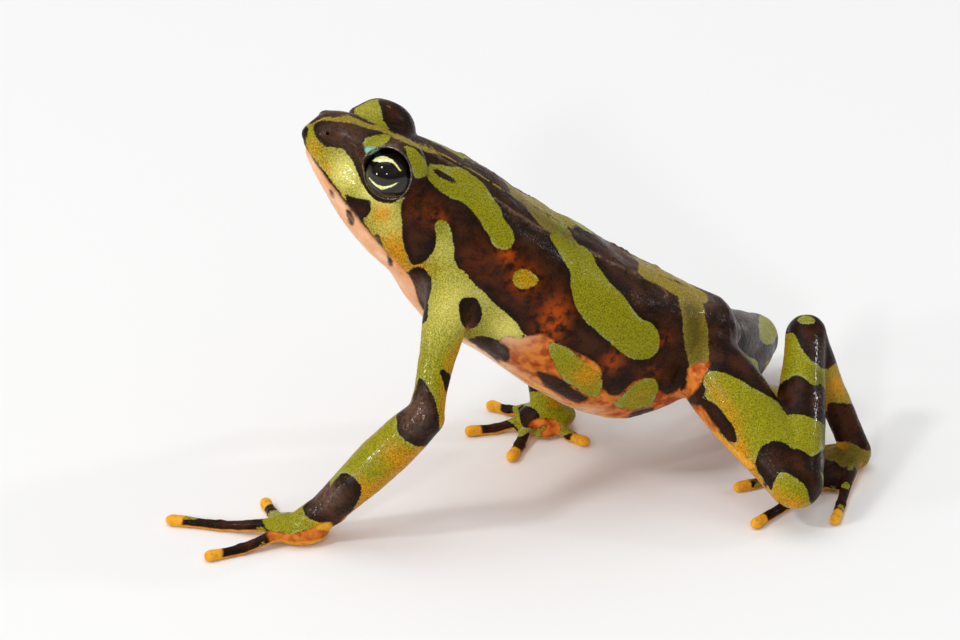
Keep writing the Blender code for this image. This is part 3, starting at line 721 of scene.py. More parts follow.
@dataclass
class Limbs:
    """All four limbs with their hands and feet, in the pose of the photograph."""

    shoulder: dict[Side, Point] = field(default_factory=lambda: {
        Side.LEFT: (-2.0, 5.6, 22.0), Side.RIGHT: (-1.5, 14.8, 21.8)})
    elbow: dict[Side, Point] = field(default_factory=lambda: {
        Side.LEFT: (-4.4, -0.6, 12.0), Side.RIGHT: (5.0, 21.6, 14.4)})
    wrist: dict[Side, Point] = field(default_factory=lambda: {
        Side.LEFT: (-12.7, 0.4, 2.5), Side.RIGHT: (5.6, 18.9, 3.2)})
    hip: dict[Side, Point] = field(default_factory=lambda: {
        Side.LEFT: (18.2, 11.2, 10.9), Side.RIGHT: (18.4, 15.8, 9.4)})
    knee: dict[Side, Point] = field(default_factory=lambda: {
        Side.LEFT: (25.7, 2.7, 4.1), Side.RIGHT: (23.3, 26.5, 4.0)})
    heel: dict[Side, Point] = field(default_factory=lambda: {
        Side.LEFT: (27.0, 13.9, 11.5), Side.RIGHT: (20.6, 13.6, 6.6)})
    instep: dict[Side, Point] = field(default_factory=lambda: {
        Side.LEFT: (31.4, 11.9, 1.5), Side.RIGHT: (27.0, 18.9, 1.5)})
    finger_tips: dict[Side, Pixels] = field(default_factory=lambda: {
        Side.LEFT: ((-12.9, 4.2), (-17.6, 5.2), (-25.1, 2.6), (-21.7, -2.9)),
        Side.RIGHT: ((8.7, 15.4), (2.7, 12.9), (-0.7, 17.1), (1.1, 21.3))})
    finger_knuckles: dict[Side, Pixels] = field(default_factory=lambda: {
        Side.LEFT: ((-14.4, 1.5), (-16.4, 2.1), (-17.3, 0.9), (-16.9, -0.9)),
        Side.RIGHT: ((6.6, 17.0), (3.9, 16.4), (3.3, 17.8), (3.9, 19.8))})
    finger_knuckle_height: float = 0.97
    palm_centre: dict[Side, Point] = field(default_factory=lambda: {
        Side.LEFT: (-14.9, 0.35, 1.0), Side.RIGHT: (5.6, 18.4, 1.1)})
    palm_half_size: dict[Side, Point] = field(default_factory=lambda: {
        Side.LEFT: (2.7, 1.75, 1.2), Side.RIGHT: (2.6, 2.0, 1.2)})
    toe_reach: tuple[float, ...] = (4.8, 7.5, 10.6, 13.1, 9.4)
    toe_spread_deg: tuple[float, ...] = (-51, -23, 0, 26, 54)
    foot_heading_deg: dict[Side, float] = field(default_factory=lambda: {Side.LEFT: 202, Side.RIGHT: 146})
    toe_knuckle_share: tuple[float, ...] = (0.55, 0.5, 0.45, 0.42, 0.5)
    toe_knuckle_height: float = 0.85
    sole_half_size: Point = (3.0, 2.2, 0.95)
    sole_reach: float = 0.3
    sole_height: float = 0.7

    def arm(self, side: Side) -> Limb:
        """Upper arm and forearm."""
        joints = (self.shoulder[side], self.elbow[side], self.wrist[side])
        flesh = (UPPER_ARM_FLESH, FOREARM_FLESH)
        return Limb(side, (Part.UPPER_ARM, Part.FOREARM), joints, flesh, ((0, 1, 0), (0, 1, 0)))

    def leg(self, side: Side) -> Limb:
        """Thigh, shank and tarsus."""
        joints = (self.hip[side], self.knee[side], self.heel[side], self.instep[side])
        flesh = (THIGH_FLESH, SHANK_FLESH, TARSUS_FLESH)
        parts = (Part.THIGH, Part.SHANK, Part.TARSUS)
        return Limb(side, parts, joints, flesh, ((0, 0, 1), (0, 0, 1), (0, 1, 0)))

    def hand(self, side: Side) -> Extremity:
        """Palm, wrist and four fingers."""
        wrist, palm = np.array(self.wrist[side]), np.array(self.palm_centre[side])
        root = 0.45 * wrist + 0.55 * np.array((*palm[:2], 1.0))
        ahead = np.array((*self.finger_tips[side][2], 0.0))
        forward = unit((ahead - wrist) * (1, 1, 0))
        axes = (forward, np.cross(LEVEL, forward), LEVEL)
        digits = [
            Digit(tuple(root), (*knuckle, self.finger_knuckle_height), tip, FINGER_RADII)
            for knuckle, tip in zip(self.finger_knuckles[side], self.finger_tips[side])
        ]
        stem = (tuple(wrist + 0.8 * unit(wrist - palm)), tuple(palm))
        pads = [(tuple(palm), self.palm_half_size[side], axes)]
        return Extremity(side, Part.HAND, pads, digits, self.wrist[side], [(stem, (1.45, 1.4, 1.3))])

    def foot(self, side: Side) -> Extremity:
        """Sole, ankle and five toes, fanned out from the instep."""
        instep = np.array(self.instep[side])
        turn = np.radians(self.foot_heading_deg[side] + side.value * np.array(self.toe_spread_deg))
        tips = instep[:2] + np.array(self.toe_reach)[:, None] * np.stack([np.cos(turn), np.sin(turn)], -1)
        ahead = np.array((*tips[2:4].mean(axis=0), 1.0))
        forward = unit((ahead - instep) * (1, 1, 0))
        centre = (instep + self.sole_reach * (ahead - instep)) * (1, 1, 0) + (0, 0, self.sole_height)
        knuckles = instep[:2] + np.array(self.toe_knuckle_share)[:, None] * (tips - instep[:2])
        digits = [
            Digit(tuple(instep), (*knuckle, self.toe_knuckle_height), tuple(tip), TOE_RADII)
            for knuckle, tip in zip(knuckles, tips)
        ]
        pads = [(tuple(centre), self.sole_half_size, (forward, np.cross(LEVEL, forward), LEVEL))]
        ankle = (tuple(instep), tuple(instep - (0.0, 0.0, 0.3)))
        return Extremity(side, Part.FOOT, pads, digits, self.instep[side], [(ankle, (1.25, 1.25))])


@dataclass
class Regions:
    """Which part of the body each of the skin's points belongs to, and how far along its limb it is."""

    part: Array
    side: Array
    place: Array
    from_tip: Array
    junction: Array

    @classmethod
    def of(cls, points: Array, trunk: Trunk, limbs: list[Limb], ends: list[Extremity]) -> "Regions":
        """Gives each point to the form whose surface is nearest.

        A point's distance from a bone is |p - nearest place on the bone| less the flesh there; its
        distance from the trunk is the hull's clearance.

        Args:
            points: the skin's points.
            trunk: the hull.
            limbs: the arms and legs.
            ends: the hands and feet.

        Returns:
            The parts, sides, places along the limb, distances from a digit's tip, and how near a second
            form is, as a bell of its distance.
        """
        count = len(points)
        best = trunk.clearance(points)
        second = np.full(count, 9.0)
        part = np.zeros(count, int)
        side = np.where(AXIS.measures(points)[2] > trunk.middle(AXIS.measures(points)[0]), 1, -1)
        place, from_tip = np.zeros(count), np.full(count, 99.0)
        for limb in limbs:
            reach = np.full(count, 9.0)
            for number, (start, end, radii) in enumerate(zip(limb.path[:-1], limb.path[1:], limb.flesh)):
                gap, share = distance_to_path(points, np.array([start, end]))
                gap = gap - np.interp(share, np.linspace(0, 1, len(radii)), radii)
                nearer = gap < np.minimum(best, reach)
                part = np.where(nearer, limb.parts[number].value, part)
                side = np.where(nearer, limb.side.value, side)
                place = np.where(nearer, number + share, place)
                reach = np.minimum(reach, gap)
            second = np.minimum(second, np.maximum(best, reach))
            best = np.minimum(best, reach)
        for end in ends:
            bones = 2.0 if end.part is Part.HAND else 3.0
            beyond = bones + np.linalg.norm(points - np.array(end.joint), axis=1) / BONE_MM
            for digit in end.digits:
                gap, share = distance_to_path(points, digit.path)
                gap = gap - np.interp(share, np.linspace(0, 3, len(digit.radii)), digit.radii)
                nearer = gap < best
                part = np.where(nearer, end.part.value, part)
                side = np.where(nearer, end.side.value, side)
                length = np.linalg.norm(digit.path[3] - points, axis=1)
                from_tip = np.where(nearer, length, from_tip)
                place = np.where(nearer, beyond, place)
                best = np.minimum(best, gap)
            for centre, half, axes in end.pads:
                local = (points - np.array(centre)) @ np.array(axes).T / np.array(half)
                gap = (np.linalg.norm(local, axis=1) - 1) * half[2]
                nearer = gap < best
                part = np.where(nearer, end.part.value, part)
                side = np.where(nearer, end.side.value, side)
                place = np.where(nearer, beyond, place)
                best = np.minimum(best, gap)
        return cls(part, side, place, from_tip, bell(np.maximum(second, 0), 0.9))

    def among(self, parts: tuple[Part, ...], side: Side | None = None) -> Array:
        """Which points belong to these parts, on one side or on both."""
        chosen = np.isin(self.part, [part.value for part in parts])
        return chosen if side is None else chosen & (self.side == side.value)


def mesh_points(obj: bpy.types.Object) -> Array:
    """The mesh's vertices as rows."""
    flat = np.empty(3 * len(obj.data.vertices), np.float32)
    obj.data.vertices.foreach_get("co", flat)
    return flat.reshape(-1, 3).astype(float)


def set_mesh_points(obj: bpy.types.Object, points: Array) -> None:
    """Moves the mesh's vertices to these rows."""
    obj.data.vertices.foreach_set("co", points.astype(np.float32).ravel())
    obj.data.update()


def mesh_normals(obj: bpy.types.Object) -> Array:
    """The vertices' normals as rows."""
    flat = np.empty(3 * len(obj.data.vertices), np.float32)
    obj.data.vertex_normals.foreach_get("vector", flat)
    return flat.reshape(-1, 3).astype(float)


def relaxed(points: Array, edges: Array, amount: Array, rounds: int) -> Array:
    """Points drawn towards the mean of their neighbours: p + amount (mean - p), a number of times.

    Args:
        points: rows of x, y and z.
        edges: pairs of neighbours' numbers.
        amount: how far each point goes, from 0 to 1.
        rounds: how many times.

    Returns:
        The moved points.
    """
    count = len(points)
    one, other = edges.T
    degree = np.bincount(edges.ravel(), minlength=count)[:, None]
    for _ in range(rounds):
        sums = [
            np.bincount(one, points[other, axis], count) + np.bincount(other, points[one, axis], count)
            for axis in range(3)
        ]
        points = points + amount[:, None] * (np.stack(sums, -1) / degree - points)
    return points


def applied(obj: bpy.types.Object, kind: str, **settings: object) -> None:
    """Adds a modifier, applies its result to the mesh and removes it.

    Args:
        obj: the object.
        kind: the modifier's type.
        settings: its settings by name.
    """
    modifier = obj.modifiers.new("shape", kind)
    for name, value in settings.items():
        setattr(modifier, name, value)
    bpy.context.view_layer.update()
    evaluated = obj.evaluated_get(bpy.context.evaluated_depsgraph_get())
    mesh = bpy.data.meshes.new_from_object(evaluated)
    obj.modifiers.clear()
    old, obj.data = obj.data, mesh
    bpy.data.meshes.remove(old)


@dataclass
class Skin:
    """The whole frog's skin as one closed surface, joined, smoothed and wrinkled."""

    trunk: Trunk
    face: Face
    limbs: list[Limb]
    ends: list[Extremity]
    voxel: float = 0.14
    most_triangles: int = 192000
    rims: dict[Side, Array] = field(default_factory=dict)

    def build(self) -> bpy.types.Object:
        """Joins the forms into one skin with sockets for the eyes.

        Returns:
            The skin's object, still in millimetres.
        """
        forms = [self.trunk.surface()] + self.face.surfaces()
        for limb in self.limbs + self.ends:
            forms += limb.surfaces()
        skin = merged(forms).object("skin", final=False)
        applied(skin, "REMESH", mode="VOXEL", voxel_size=self.voxel, adaptivity=0.0)
        log.info("skin: %d faces after joining", len(skin.data.polygons))
        self.soften(skin)
        self.wrinkle(skin)
        for side in Side:
            self.rims[side] = self.rim_path(skin, side)
        for cutter in self.face.cutters():
            tool = cutter.object("cutter", final=False)
            applied(skin, "BOOLEAN", operation="DIFFERENCE", object=tool, solver="MANIFOLD")
            bpy.data.objects.remove(tool)
        triangles = sum(len(p.vertices) - 2 for p in skin.data.polygons)
        ratio = min(1.0, self.most_triangles / triangles)
        applied(skin, "DECIMATE", ratio=ratio, use_collapse_triangulate=True)
        log.info("skin: %d triangles", len(skin.data.polygons))
        return skin

    def rim_path(self, skin: bpy.types.Object, side: Side, steps: int = 120) -> Array:
        """Where the edge of an eye's opening lies on the skin: a circle about the gaze, dropped onto it.

        Args:
            skin: the skin before the socket is cut, in millimetres.
            side: which eye.
            steps: points round the edge.

        Returns:
            The edge's points, each drawn to the mean of its neighbours a few times.
        """
        gaze, eye = self.face.gaze(side), self.face.eye(side)
        tree = BVHTree.FromObject(skin, bpy.context.evaluated_depsgraph_get())
        first = unit(np.cross(gaze, UPWARD))
        second = np.cross(gaze, first)
        turn = np.linspace(0, 2 * np.pi, steps, endpoint=False)[:, None]
        circle = eye + (self.face.opening + 0.06) * (np.cos(turn) * first + np.sin(turn) * second)
        hits = [tree.ray_cast(Vector(point + 5 * gaze), Vector(-gaze))[0] for point in circle]
        path = np.array([tuple(hit) if hit else tuple(point) for hit, point in zip(hits, circle)])
        for _ in range(12):
            path = 0.5 * path + 0.25 * (np.roll(path, 1, axis=0) + np.roll(path, -1, axis=0))
        return path

    def soften(self, skin: bpy.types.Object) -> None:
        """Smooths the whole skin a little and the folds where two forms meet a good deal."""
        points = mesh_points(skin)
        flat = np.empty(2 * len(skin.data.edges), np.int32)
        skin.data.edges.foreach_get("vertices", flat)
        edges = flat.reshape(-1, 2)
        regions = Regions.of(points, self.trunk, self.limbs, self.ends)
        points = relaxed(points, edges, 0.6 * regions.junction, 60)
        points = relaxed(points, edges, np.full(len(points), 0.5), 7)
        set_mesh_points(skin, points)

    def wrinkle(self, skin: bpy.types.Object) -> None:
        """Moves the skin along its normals by the relief, then flattens what lies below the floor."""
        points, normals = mesh_points(skin), mesh_normals(skin)
        regions = Regions.of(points, self.trunk, self.limbs, self.ends)
        relief = self.relief(points, regions)
        points = points + relief[:, None] * normals
        points[:, 2] = np.maximum(points[:, 2], 0.0)
        set_mesh_points(skin, points)

    def relief(self, points: Array, regions: Regions) -> Array:
        """The height of the skin's features, in mm.

        The face's relief, low lumps of noise over the spine, folds of skin as a sine across the groin and
        the armpit, and two scales of fine unevenness are added up.

        Args:
            points: the skin's points.
            regions: the part of each point.

        Returns:
            One height a point.
        """
        on_trunk = regions.among((Part.TRUNK,))
        along, height, breadth = self.trunk.shares(points)
        relief = np.where(on_trunk, self.face.relief(points), 0.0)
        back = on_trunk * ease(height, 0.55, 0.95) * ease(along, 13.0, 17.0)
        relief += back * (0.10 * smooth_noise(points, 2.3, 11) + 0.035 * smooth_noise(points, 1.0, 12))
        rump = on_trunk * ease(along, 31.0, 36.0)
        relief += rump * 0.045 * smooth_noise(points * (1.0, 1.0, 1.8), 0.9, 13)
        fold = regions.junction * ease(along, 14.0, 18.0)
        relief += 0.025 * fold * np.sin(2 * np.pi * along / 1.1 + 3.0 * smooth_noise(points, 2.0, 14))
        relief += 0.05 * smooth_noise(points, 2.6, 15) + 0.022 * smooth_noise(points, 0.7, 16)
        return relief


@dataclass
class Canvas:
    """The skin's points with the pigment at each, painted stroke by stroke.

    Each pigment is a distance from the edge of its markings, above zero inside them. A later stroke
    covers what lies under it: it raises its own pigment to its distance and lowers the others below it.
    """

    points: Array
    normals: Array
    faces: Array
    regions: Regions
    trunk: Trunk
    camera: PhotoCamera
    pigments: dict[Pigment, Array] = field(default_factory=dict)
    tints: dict[Tint, Array] = field(default_factory=dict)
    trees: dict[tuple, BVHTree] = field(default_factory=dict)

    def __post_init__(self) -> None:
        """Starts with dark skin and no tint anywhere."""
        count = len(self.points)
        self.pigments = {pigment: np.full(count, -FAR_MM) for pigment in Pigment}
        self.pigments[Pigment.DARK] = np.full(count, FAR_MM)
        self.tints = {tint: np.zeros(count) for tint in Tint}
        self.mirror_points = self.trunk.mirrored(self.points)
        self.mirror_normals = self.normals - 2 * (self.normals @ LEFTWARD)[:, None] * LEFTWARD
        shift = drift(self.points, 5.0, 0.9, 31)
        self.mirror_points = self.mirror_points + shift
        self.wobble = 0.09 * smooth_noise(self.points, 1.1, 41) + 0.05 * smooth_noise(self.points, 0.5, 42)
        self.lift = np.zeros(count)

    @classmethod
    def of(cls, skin: bpy.types.Object, form: Skin, camera: PhotoCamera) -> "Canvas":
        """Reads a skin whose mesh is still in millimetres."""
        points = mesh_points(skin)
        flat = np.empty(3 * len(skin.data.polygons), np.int32)
        skin.data.polygons.foreach_get("vertices", flat)
        regions = Regions.of(points, form.trunk, form.limbs, form.ends)
        return cls(points, mesh_normals(skin), flat.reshape(-1, 3), regions, form.trunk, camera)

    def lay(self, pigment: Pigment, inside: Array) -> None:
        """Covers the canvas with one pigment where the distance is above zero."""
        for other, values in self.pigments.items():
            if other is pigment:
                self.pigments[other] = np.maximum(values, inside)
            else:
                self.pigments[other] = np.minimum(values, -inside)

    def tree(self, parts: tuple[Part, ...], side: Side | None) -> BVHTree:
        """The faces of some parts alone, to cast rays at."""
        key = (parts, side)
        if key not in self.trees:
            chosen = self.regions.among(parts, side)
            faces = self.faces[chosen[self.faces].any(axis=1)]
            self.trees[key] = BVHTree.FromPolygons(self.points.tolist(), faces.tolist(), all_triangles=True)
        return self.trees[key]

    def cast(self, pixels: Pixels, parts: tuple[Part, ...], side: Side | None) -> tuple[Array, Array]:
        """Carries pixels of the photograph onto the skin along the camera's rays.

        A ray that misses takes the nearest place on the skin to itself.

        Args:
            pixels: places in the photograph.
            parts: the parts that they lie on.
            side: the side of those parts, or None for both.

        Returns:
            The places on the skin, and the skin's normals there.
        """
        tree = self.tree(parts, side)
        origin = Vector(self.camera.place)
        rays = [Vector(self.camera.ray(pixel)) for pixel in pixels]
        found = [tree.ray_cast(origin, ray) for ray in rays]
        reaches = [hit[3] for hit in found if hit[0] is not None]
        reach = float(np.mean(reaches)) if reaches else self.camera.distance
        for number, (hit, ray) in enumerate(zip(found, rays)):
            place = origin + reach * ray
            for _ in range(4 if hit[0] is None else 0):
                hit = tree.find_nearest(place)
                place = origin + (hit[0] - origin).dot(ray) * ray
            found[number] = hit
        return np.array([tuple(hit[0]) for hit in found]), np.array([tuple(hit[1]) for hit in found])

    def write(self, skin: bpy.types.Object) -> None:
        """Stores the pigments and tints as the mesh's own attributes."""
        for key, values in list(self.pigments.items()) + list(self.tints.items()):
            if key is Pigment.DARK:
                continue
            layer = skin.data.attributes.new(key.value, "FLOAT", "POINT")
            layer.data.foreach_set("value", values.astype(np.float32))


@dataclass(frozen=True)
class Patch:
    """A marking with a closed outline, read off the photograph and carried onto the skin."""

    name: str
    pigment: Pigment
    outline: Pixels
    parts: tuple[Part, ...] = (Part.TRUNK,)
    side: Side | None = None
    mirrored: bool = True

    def paint(self, canvas: Canvas) -> None:
        """Lays the marking, and on the trunk its mirrored twin, which drifts a little.

        A point's distance from the outline is measured in the photograph's plane, in mm at the frog, and is
        held back where the skin turns away both from the camera and from the marking's mean normal.
        """
        corners, normals = canvas.cast(self.outline, self.parts, self.side)
        facing, centre = unit(normals.sum(axis=0)), corners.mean(axis=0)
        camera = canvas.camera
        outline = rounded_outline(np.array(self.outline, float))
        reach = np.linalg.norm(corners - centre, axis=1).max() + FAR_MM

        def inside(points: Array, turned: Array, chosen: Array) -> Array:
            """The distance of points from the outline, where they are near it and face its way."""
            tilt = np.maximum(turned @ facing, turned @ camera.axes[2])
            near = chosen & (np.linalg.norm(points - centre, axis=1) < reach) & (tilt > -0.15)
            index = np.flatnonzero(near)
            distance = np.full(len(points), -FAR_MM)
            if len(index):
                gap = camera.distance / camera.focal_px * inside_outline(camera.pixels(points[index]), outline)
                distance[index] = np.minimum(gap, 5.0 * (tilt[index] + 0.05))
            return np.clip(distance, -FAR_MM, FAR_MM)

        chosen = canvas.regions.among(self.parts, self.side)
        distance = inside(canvas.points, canvas.normals, chosen)
        if self.mirrored and Part.TRUNK in self.parts:
            right = canvas.regions.among((Part.TRUNK,), Side.RIGHT)
            distance = np.maximum(distance, inside(canvas.mirror_points, canvas.mirror_normals, right))
        near = distance > -FAR_MM
        canvas.lay(self.pigment, np.where(near, distance + canvas.wobble, -FAR_MM))


@dataclass(frozen=True)
class Streak:
    """A thin line along a path read off the photograph."""

    name: str
    pigment: Pigment
    path: Pixels
    width: float
    parts: tuple[Part, ...] = (Part.TRUNK,)
    side: Side | None = None
    mirrored: bool = True

    def paint(self, canvas: Canvas) -> None:
        """Lays the line: half its width less the distance from its path."""
        path, _ = canvas.cast(self.path, self.parts, self.side)
        chosen = canvas.regions.among(self.parts, self.side)
        gap = np.where(chosen, distance_to_path(canvas.points, path)[0], 9.0)
        if self.mirrored:
            right = canvas.regions.among((Part.TRUNK,), Side.RIGHT)
            gap = np.where(right, np.minimum(gap, distance_to_path(canvas.mirror_points, path)[0]), gap)
        inside = self.width / 2 - gap
        canvas.lay(self.pigment, np.where(inside > -FAR_MM, inside + 0.4 * canvas.wobble, -FAR_MM))


@dataclass(frozen=True)
class Ridge:
    """A narrow raised fold of skin along a path read off the photograph, and its twin on the right."""

    name: str
    path: Pixels
    width: float
    height: float
    parts: tuple[Part, ...] = (Part.TRUNK,)

    def paint(self, canvas: Canvas) -> None:
        """Raises the skin by height times a bell of the distance from the path, and paints a pale line of highlight
        along it.
        """
        path, _ = canvas.cast(self.path, self.parts, None)
        left, right = (canvas.regions.among(self.parts, side) for side in Side)
        gap = np.where(left, distance_to_path(canvas.points, path)[0], 9.0)
        gap = np.where(right, distance_to_path(canvas.mirror_points, path)[0], gap)
        fold = bell(gap, self.width)
        canvas.lift += self.height * fold
        # painted highlight: a pale line laid with the sheen tint along the fold
        canvas.tints[Tint.BLOOM] = np.maximum(canvas.tints[Tint.BLOOM], bell(gap, 0.7 * self.width))


@dataclass(frozen=True)
class Wash:
    """A soft round tint on the skin."""

    name: str
    tint: Tint
    centre: tuple[float, float]
    radius: float
    amount: float
    parts: tuple[Part, ...] = (Part.TRUNK,)
    side: Side | None = None
    mirrored: bool = True

    def paint(self, canvas: Canvas) -> None:
        """Adds the tint: amount times a bell of the distance from its centre."""
        centre, _ = canvas.cast((self.centre,), self.parts, self.side)
        chosen = canvas.regions.among(self.parts, self.side)
        value = chosen * bell(np.linalg.norm(canvas.points - centre, axis=1), self.radius)
        if self.mirrored:
            right = canvas.regions.among((Part.TRUNK,), Side.RIGHT)
            value = value + right * bell(np.linalg.norm(canvas.mirror_points - centre, axis=1), self.radius)
        canvas.tints[self.tint] = np.clip(canvas.tints[self.tint] + self.amount * value, 0, 1)


@dataclass(frozen=True)
class Trail:
    """A soft tint along a path read off the photograph."""

    name: str
    tint: Tint
    path: Pixels
    radius: float
    amount: float
    parts: tuple[Part, ...] = (Part.TRUNK,)
    side: Side | None = None

    def paint(self, canvas: Canvas) -> None:
        """Adds the tint: amount times a bell of the distance from the path."""
        path, _ = canvas.cast(self.path, self.parts, self.side)
        chosen = canvas.regions.among(self.parts, self.side)
        value = chosen * bell(distance_to_path(canvas.points, path)[0], self.radius)
        canvas.tints[self.tint] = np.clip(canvas.tints[self.tint] + self.amount * value, 0, 1)


@dataclass(frozen=True)
class Band:
    """A ring of colour round a limb, alike on the left and the right."""

    name: str
    pigment: Pigment
    parts: tuple[Part, ...]
    start: float
    end: float
    sides: tuple[Side, ...] = (Side.LEFT, Side.RIGHT)

    def paint(self, canvas: Canvas) -> None:
        """Lays the ring: the lesser of the distances past its start and before its end."""
        for side in self.sides:
            chosen = canvas.regions.among(self.parts, side)
            place = canvas.regions.place
            inside = BONE_MM * np.minimum(place - self.start, self.end - place)
            inside = inside + 0.7 * smooth_noise(canvas.points, 2.2, 51) + canvas.wobble
            canvas.lay(self.pigment, np.where(chosen, np.clip(inside, -FAR_MM, FAR_MM), -FAR_MM))


ARM = (Part.UPPER_ARM,)
ELBOW_JOINT = (Part.UPPER_ARM, Part.FOREARM)
FORE = (Part.FOREARM, Part.HAND)
SHOULDER_SKIN = (Part.TRUNK, Part.UPPER_ARM)
THIGH_SKIN = (Part.THIGH,)
KNEE_JOINT = (Part.THIGH, Part.SHANK)
SHANK_SKIN = (Part.SHANK,)
HEEL_JOINT = (Part.SHANK, Part.TARSUS)
TARSUS_SKIN = (Part.TARSUS, Part.FOOT)
ARM_LENGTH = (Part.UPPER_ARM, Part.FOREARM)
LEG_LENGTH = (Part.THIGH, Part.SHANK, Part.TARSUS)
ARM_BACK: Point = (-0.7, -0.2, 0.6)
LEG_BACK: Point = (0.45, -0.2, 0.8)
LEFT, RIGHT = Side.LEFT, Side.RIGHT

HEAD_MARKS = (
    Patch("midline stripe", Pigment.OLIVE, (
        (305, 121), (315, 115), (328, 112), (345, 113), (357, 118), (370, 123), (385, 130), (400, 136), (415, 143),
        (430, 149), (443, 156), (430, 153), (415, 147), (400, 140), (387, 134), (375, 131), (360, 126), (345, 122),
        (330, 121), (318, 124), (310, 127))),
    Patch("upper lip", Pigment.LIME, (
        (307, 124), (314, 126), (316, 136), (325, 146), (339, 147), (351, 158), (357, 170), (363, 187), (373, 198),
        (372, 204), (358, 199), (345, 195), (345, 199), (327, 175), (310, 153), (306, 140))),
    Patch("snout tip", Pigment.LIME, ((305, 122), (313, 124), (315, 136), (310, 148), (306, 138))),
    Patch("cheek", Pigment.LIME, (
        (369, 197), (380, 203), (392, 203), (404, 197), (405, 206), (402, 216), (403, 235), (406, 250), (410, 264),
        (400, 265), (391, 258), (380, 243), (370, 230), (364, 220), (371, 210))),
    Patch("lip spot", Pigment.DARK, (
        (345, 195), (357, 198), (368, 201), (371, 208), (367, 216), (362, 217), (354, 206))),
    Patch("near canthal band", Pigment.DARK, (
        (314, 124), (328, 121), (351, 126), (370, 129), (383, 133), (376, 137), (366, 139), (366, 146), (365, 153),
        (361, 160), (359, 168), (362, 180), (357, 170), (351, 158), (344, 149), (336, 147), (325, 146), (317, 137))),
    Patch("front of the lid", Pigment.LIME, ((366, 138), (388, 134), (388, 141), (381, 147), (366, 148))),
    Patch("blue of the lid", Pigment.BLUE, ((366, 147.5), (380, 149), (376, 153), (367, 155))),
    Streak("blue behind the eye", Pigment.BLUE, ((408.5, 157), (410.5, 163), (411.5, 169)), 0.12, mirrored=False),
    Patch("rear of the lid", Pigment.LIME, (
        (405, 145), (419, 152), (427, 166), (428, 174), (416, 178), (411, 166), (408, 155))),
    Patch("far lid", Pigment.LIME, (
        (355, 112), (361, 100), (377, 96), (381, 109), (386, 124), (391, 131), (376, 124)), mirrored=False),
    Patch("back of the far lid", Pigment.DARK, (
        (379, 96), (397, 101), (412, 116), (418, 128), (430, 140), (419, 142), (397, 132), (385, 123), (381, 110)),
          mirrored=False),
    Patch("snout mark", Pigment.DARK, ((303, 126), (308, 127), (307, 137), (304, 136))),
    Streak("edge of the far lid", Pigment.OLIVE, ((375, 124), (388, 131), (402, 137), (418, 144)), 0.35),
    Wash("cheek spot", Tint.AMBER, (382, 214), 0.75, 1.0),
    Wash("lower cheek", Tint.AMBER, (394, 246), 1.25, 0.9),
    Wash("cheek edge", Tint.AMBER, (404, 262), 1.0, 0.9),
    Wash("lip edge", Tint.AMBER, (313, 150), 0.8, 0.7),
    Wash("lip edge behind", Tint.AMBER, (326, 168), 0.6, 0.6),
    Wash("pale lip", Tint.CHALK, (346, 172), 1.6, 1.0),
    Wash("pale cheek", Tint.CHALK, (390, 225), 1.8, 0.6),
    Wash("pale far lid", Tint.CHALK, (366, 108), 1.6, 0.2),
    Wash("pale skin under the eye", Tint.CHALK, (385, 199), 0.9, 0.9),
    Wash("pale skin before the eye", Tint.CHALK, (369, 193), 0.8, 0.8),
    # brown tone and painted sheen over the snout and the lid
    Wash("brown snout", Tint.BLOOM, (350, 135), 2.2, 0.25),
    Wash("brown lid", Tint.BLOOM, (397, 143), 0.9, 0.35),
    Wash("rust behind the eye", Tint.RUST, (420, 210), 1.4, 0.2),
    Wash("rust over the arm", Tint.RUST, (439, 219), 0.6, 0.75),
    Wash("wet nostril", Tint.WET, (323, 130), 0.45, 1.0),
    Trail("wet canthus", Tint.WET, ((343, 132), (350, 137), (360, 143)), 0.28, 1.0),
    Trail("wet lip", Tint.WET, ((343, 160), (347, 174), (350, 181)), 0.55, 1.0),
    Trail("wet lip edge", Tint.WET, ((309, 156), (316, 165)), 0.25, 0.8),
    Trail("wet upper lid", Tint.WET, ((374, 144), (384, 142), (393, 145)), 0.28, 0.9),
    Trail("wet lower lid", Tint.WET, ((372, 201), (386, 206), (402, 200)), 0.3, 0.4),
    Wash("wet cheek", Tint.WET, (394, 222), 0.6, 0.4),
)

RUMP_BAND: Pixels = (
    (676, 287), (692, 292), (703, 305), (706, 318), (708, 338), (709, 357), (705, 371), (698, 384), (686, 381),
    (689, 364), (684, 343), (682, 312))
RUMP_ORANGE: Pixels = (
    (688, 368), (697, 364), (709, 362), (707, 373), (697, 388), (684, 403), (672, 411), (664, 406), (678, 395),
    (687, 383))

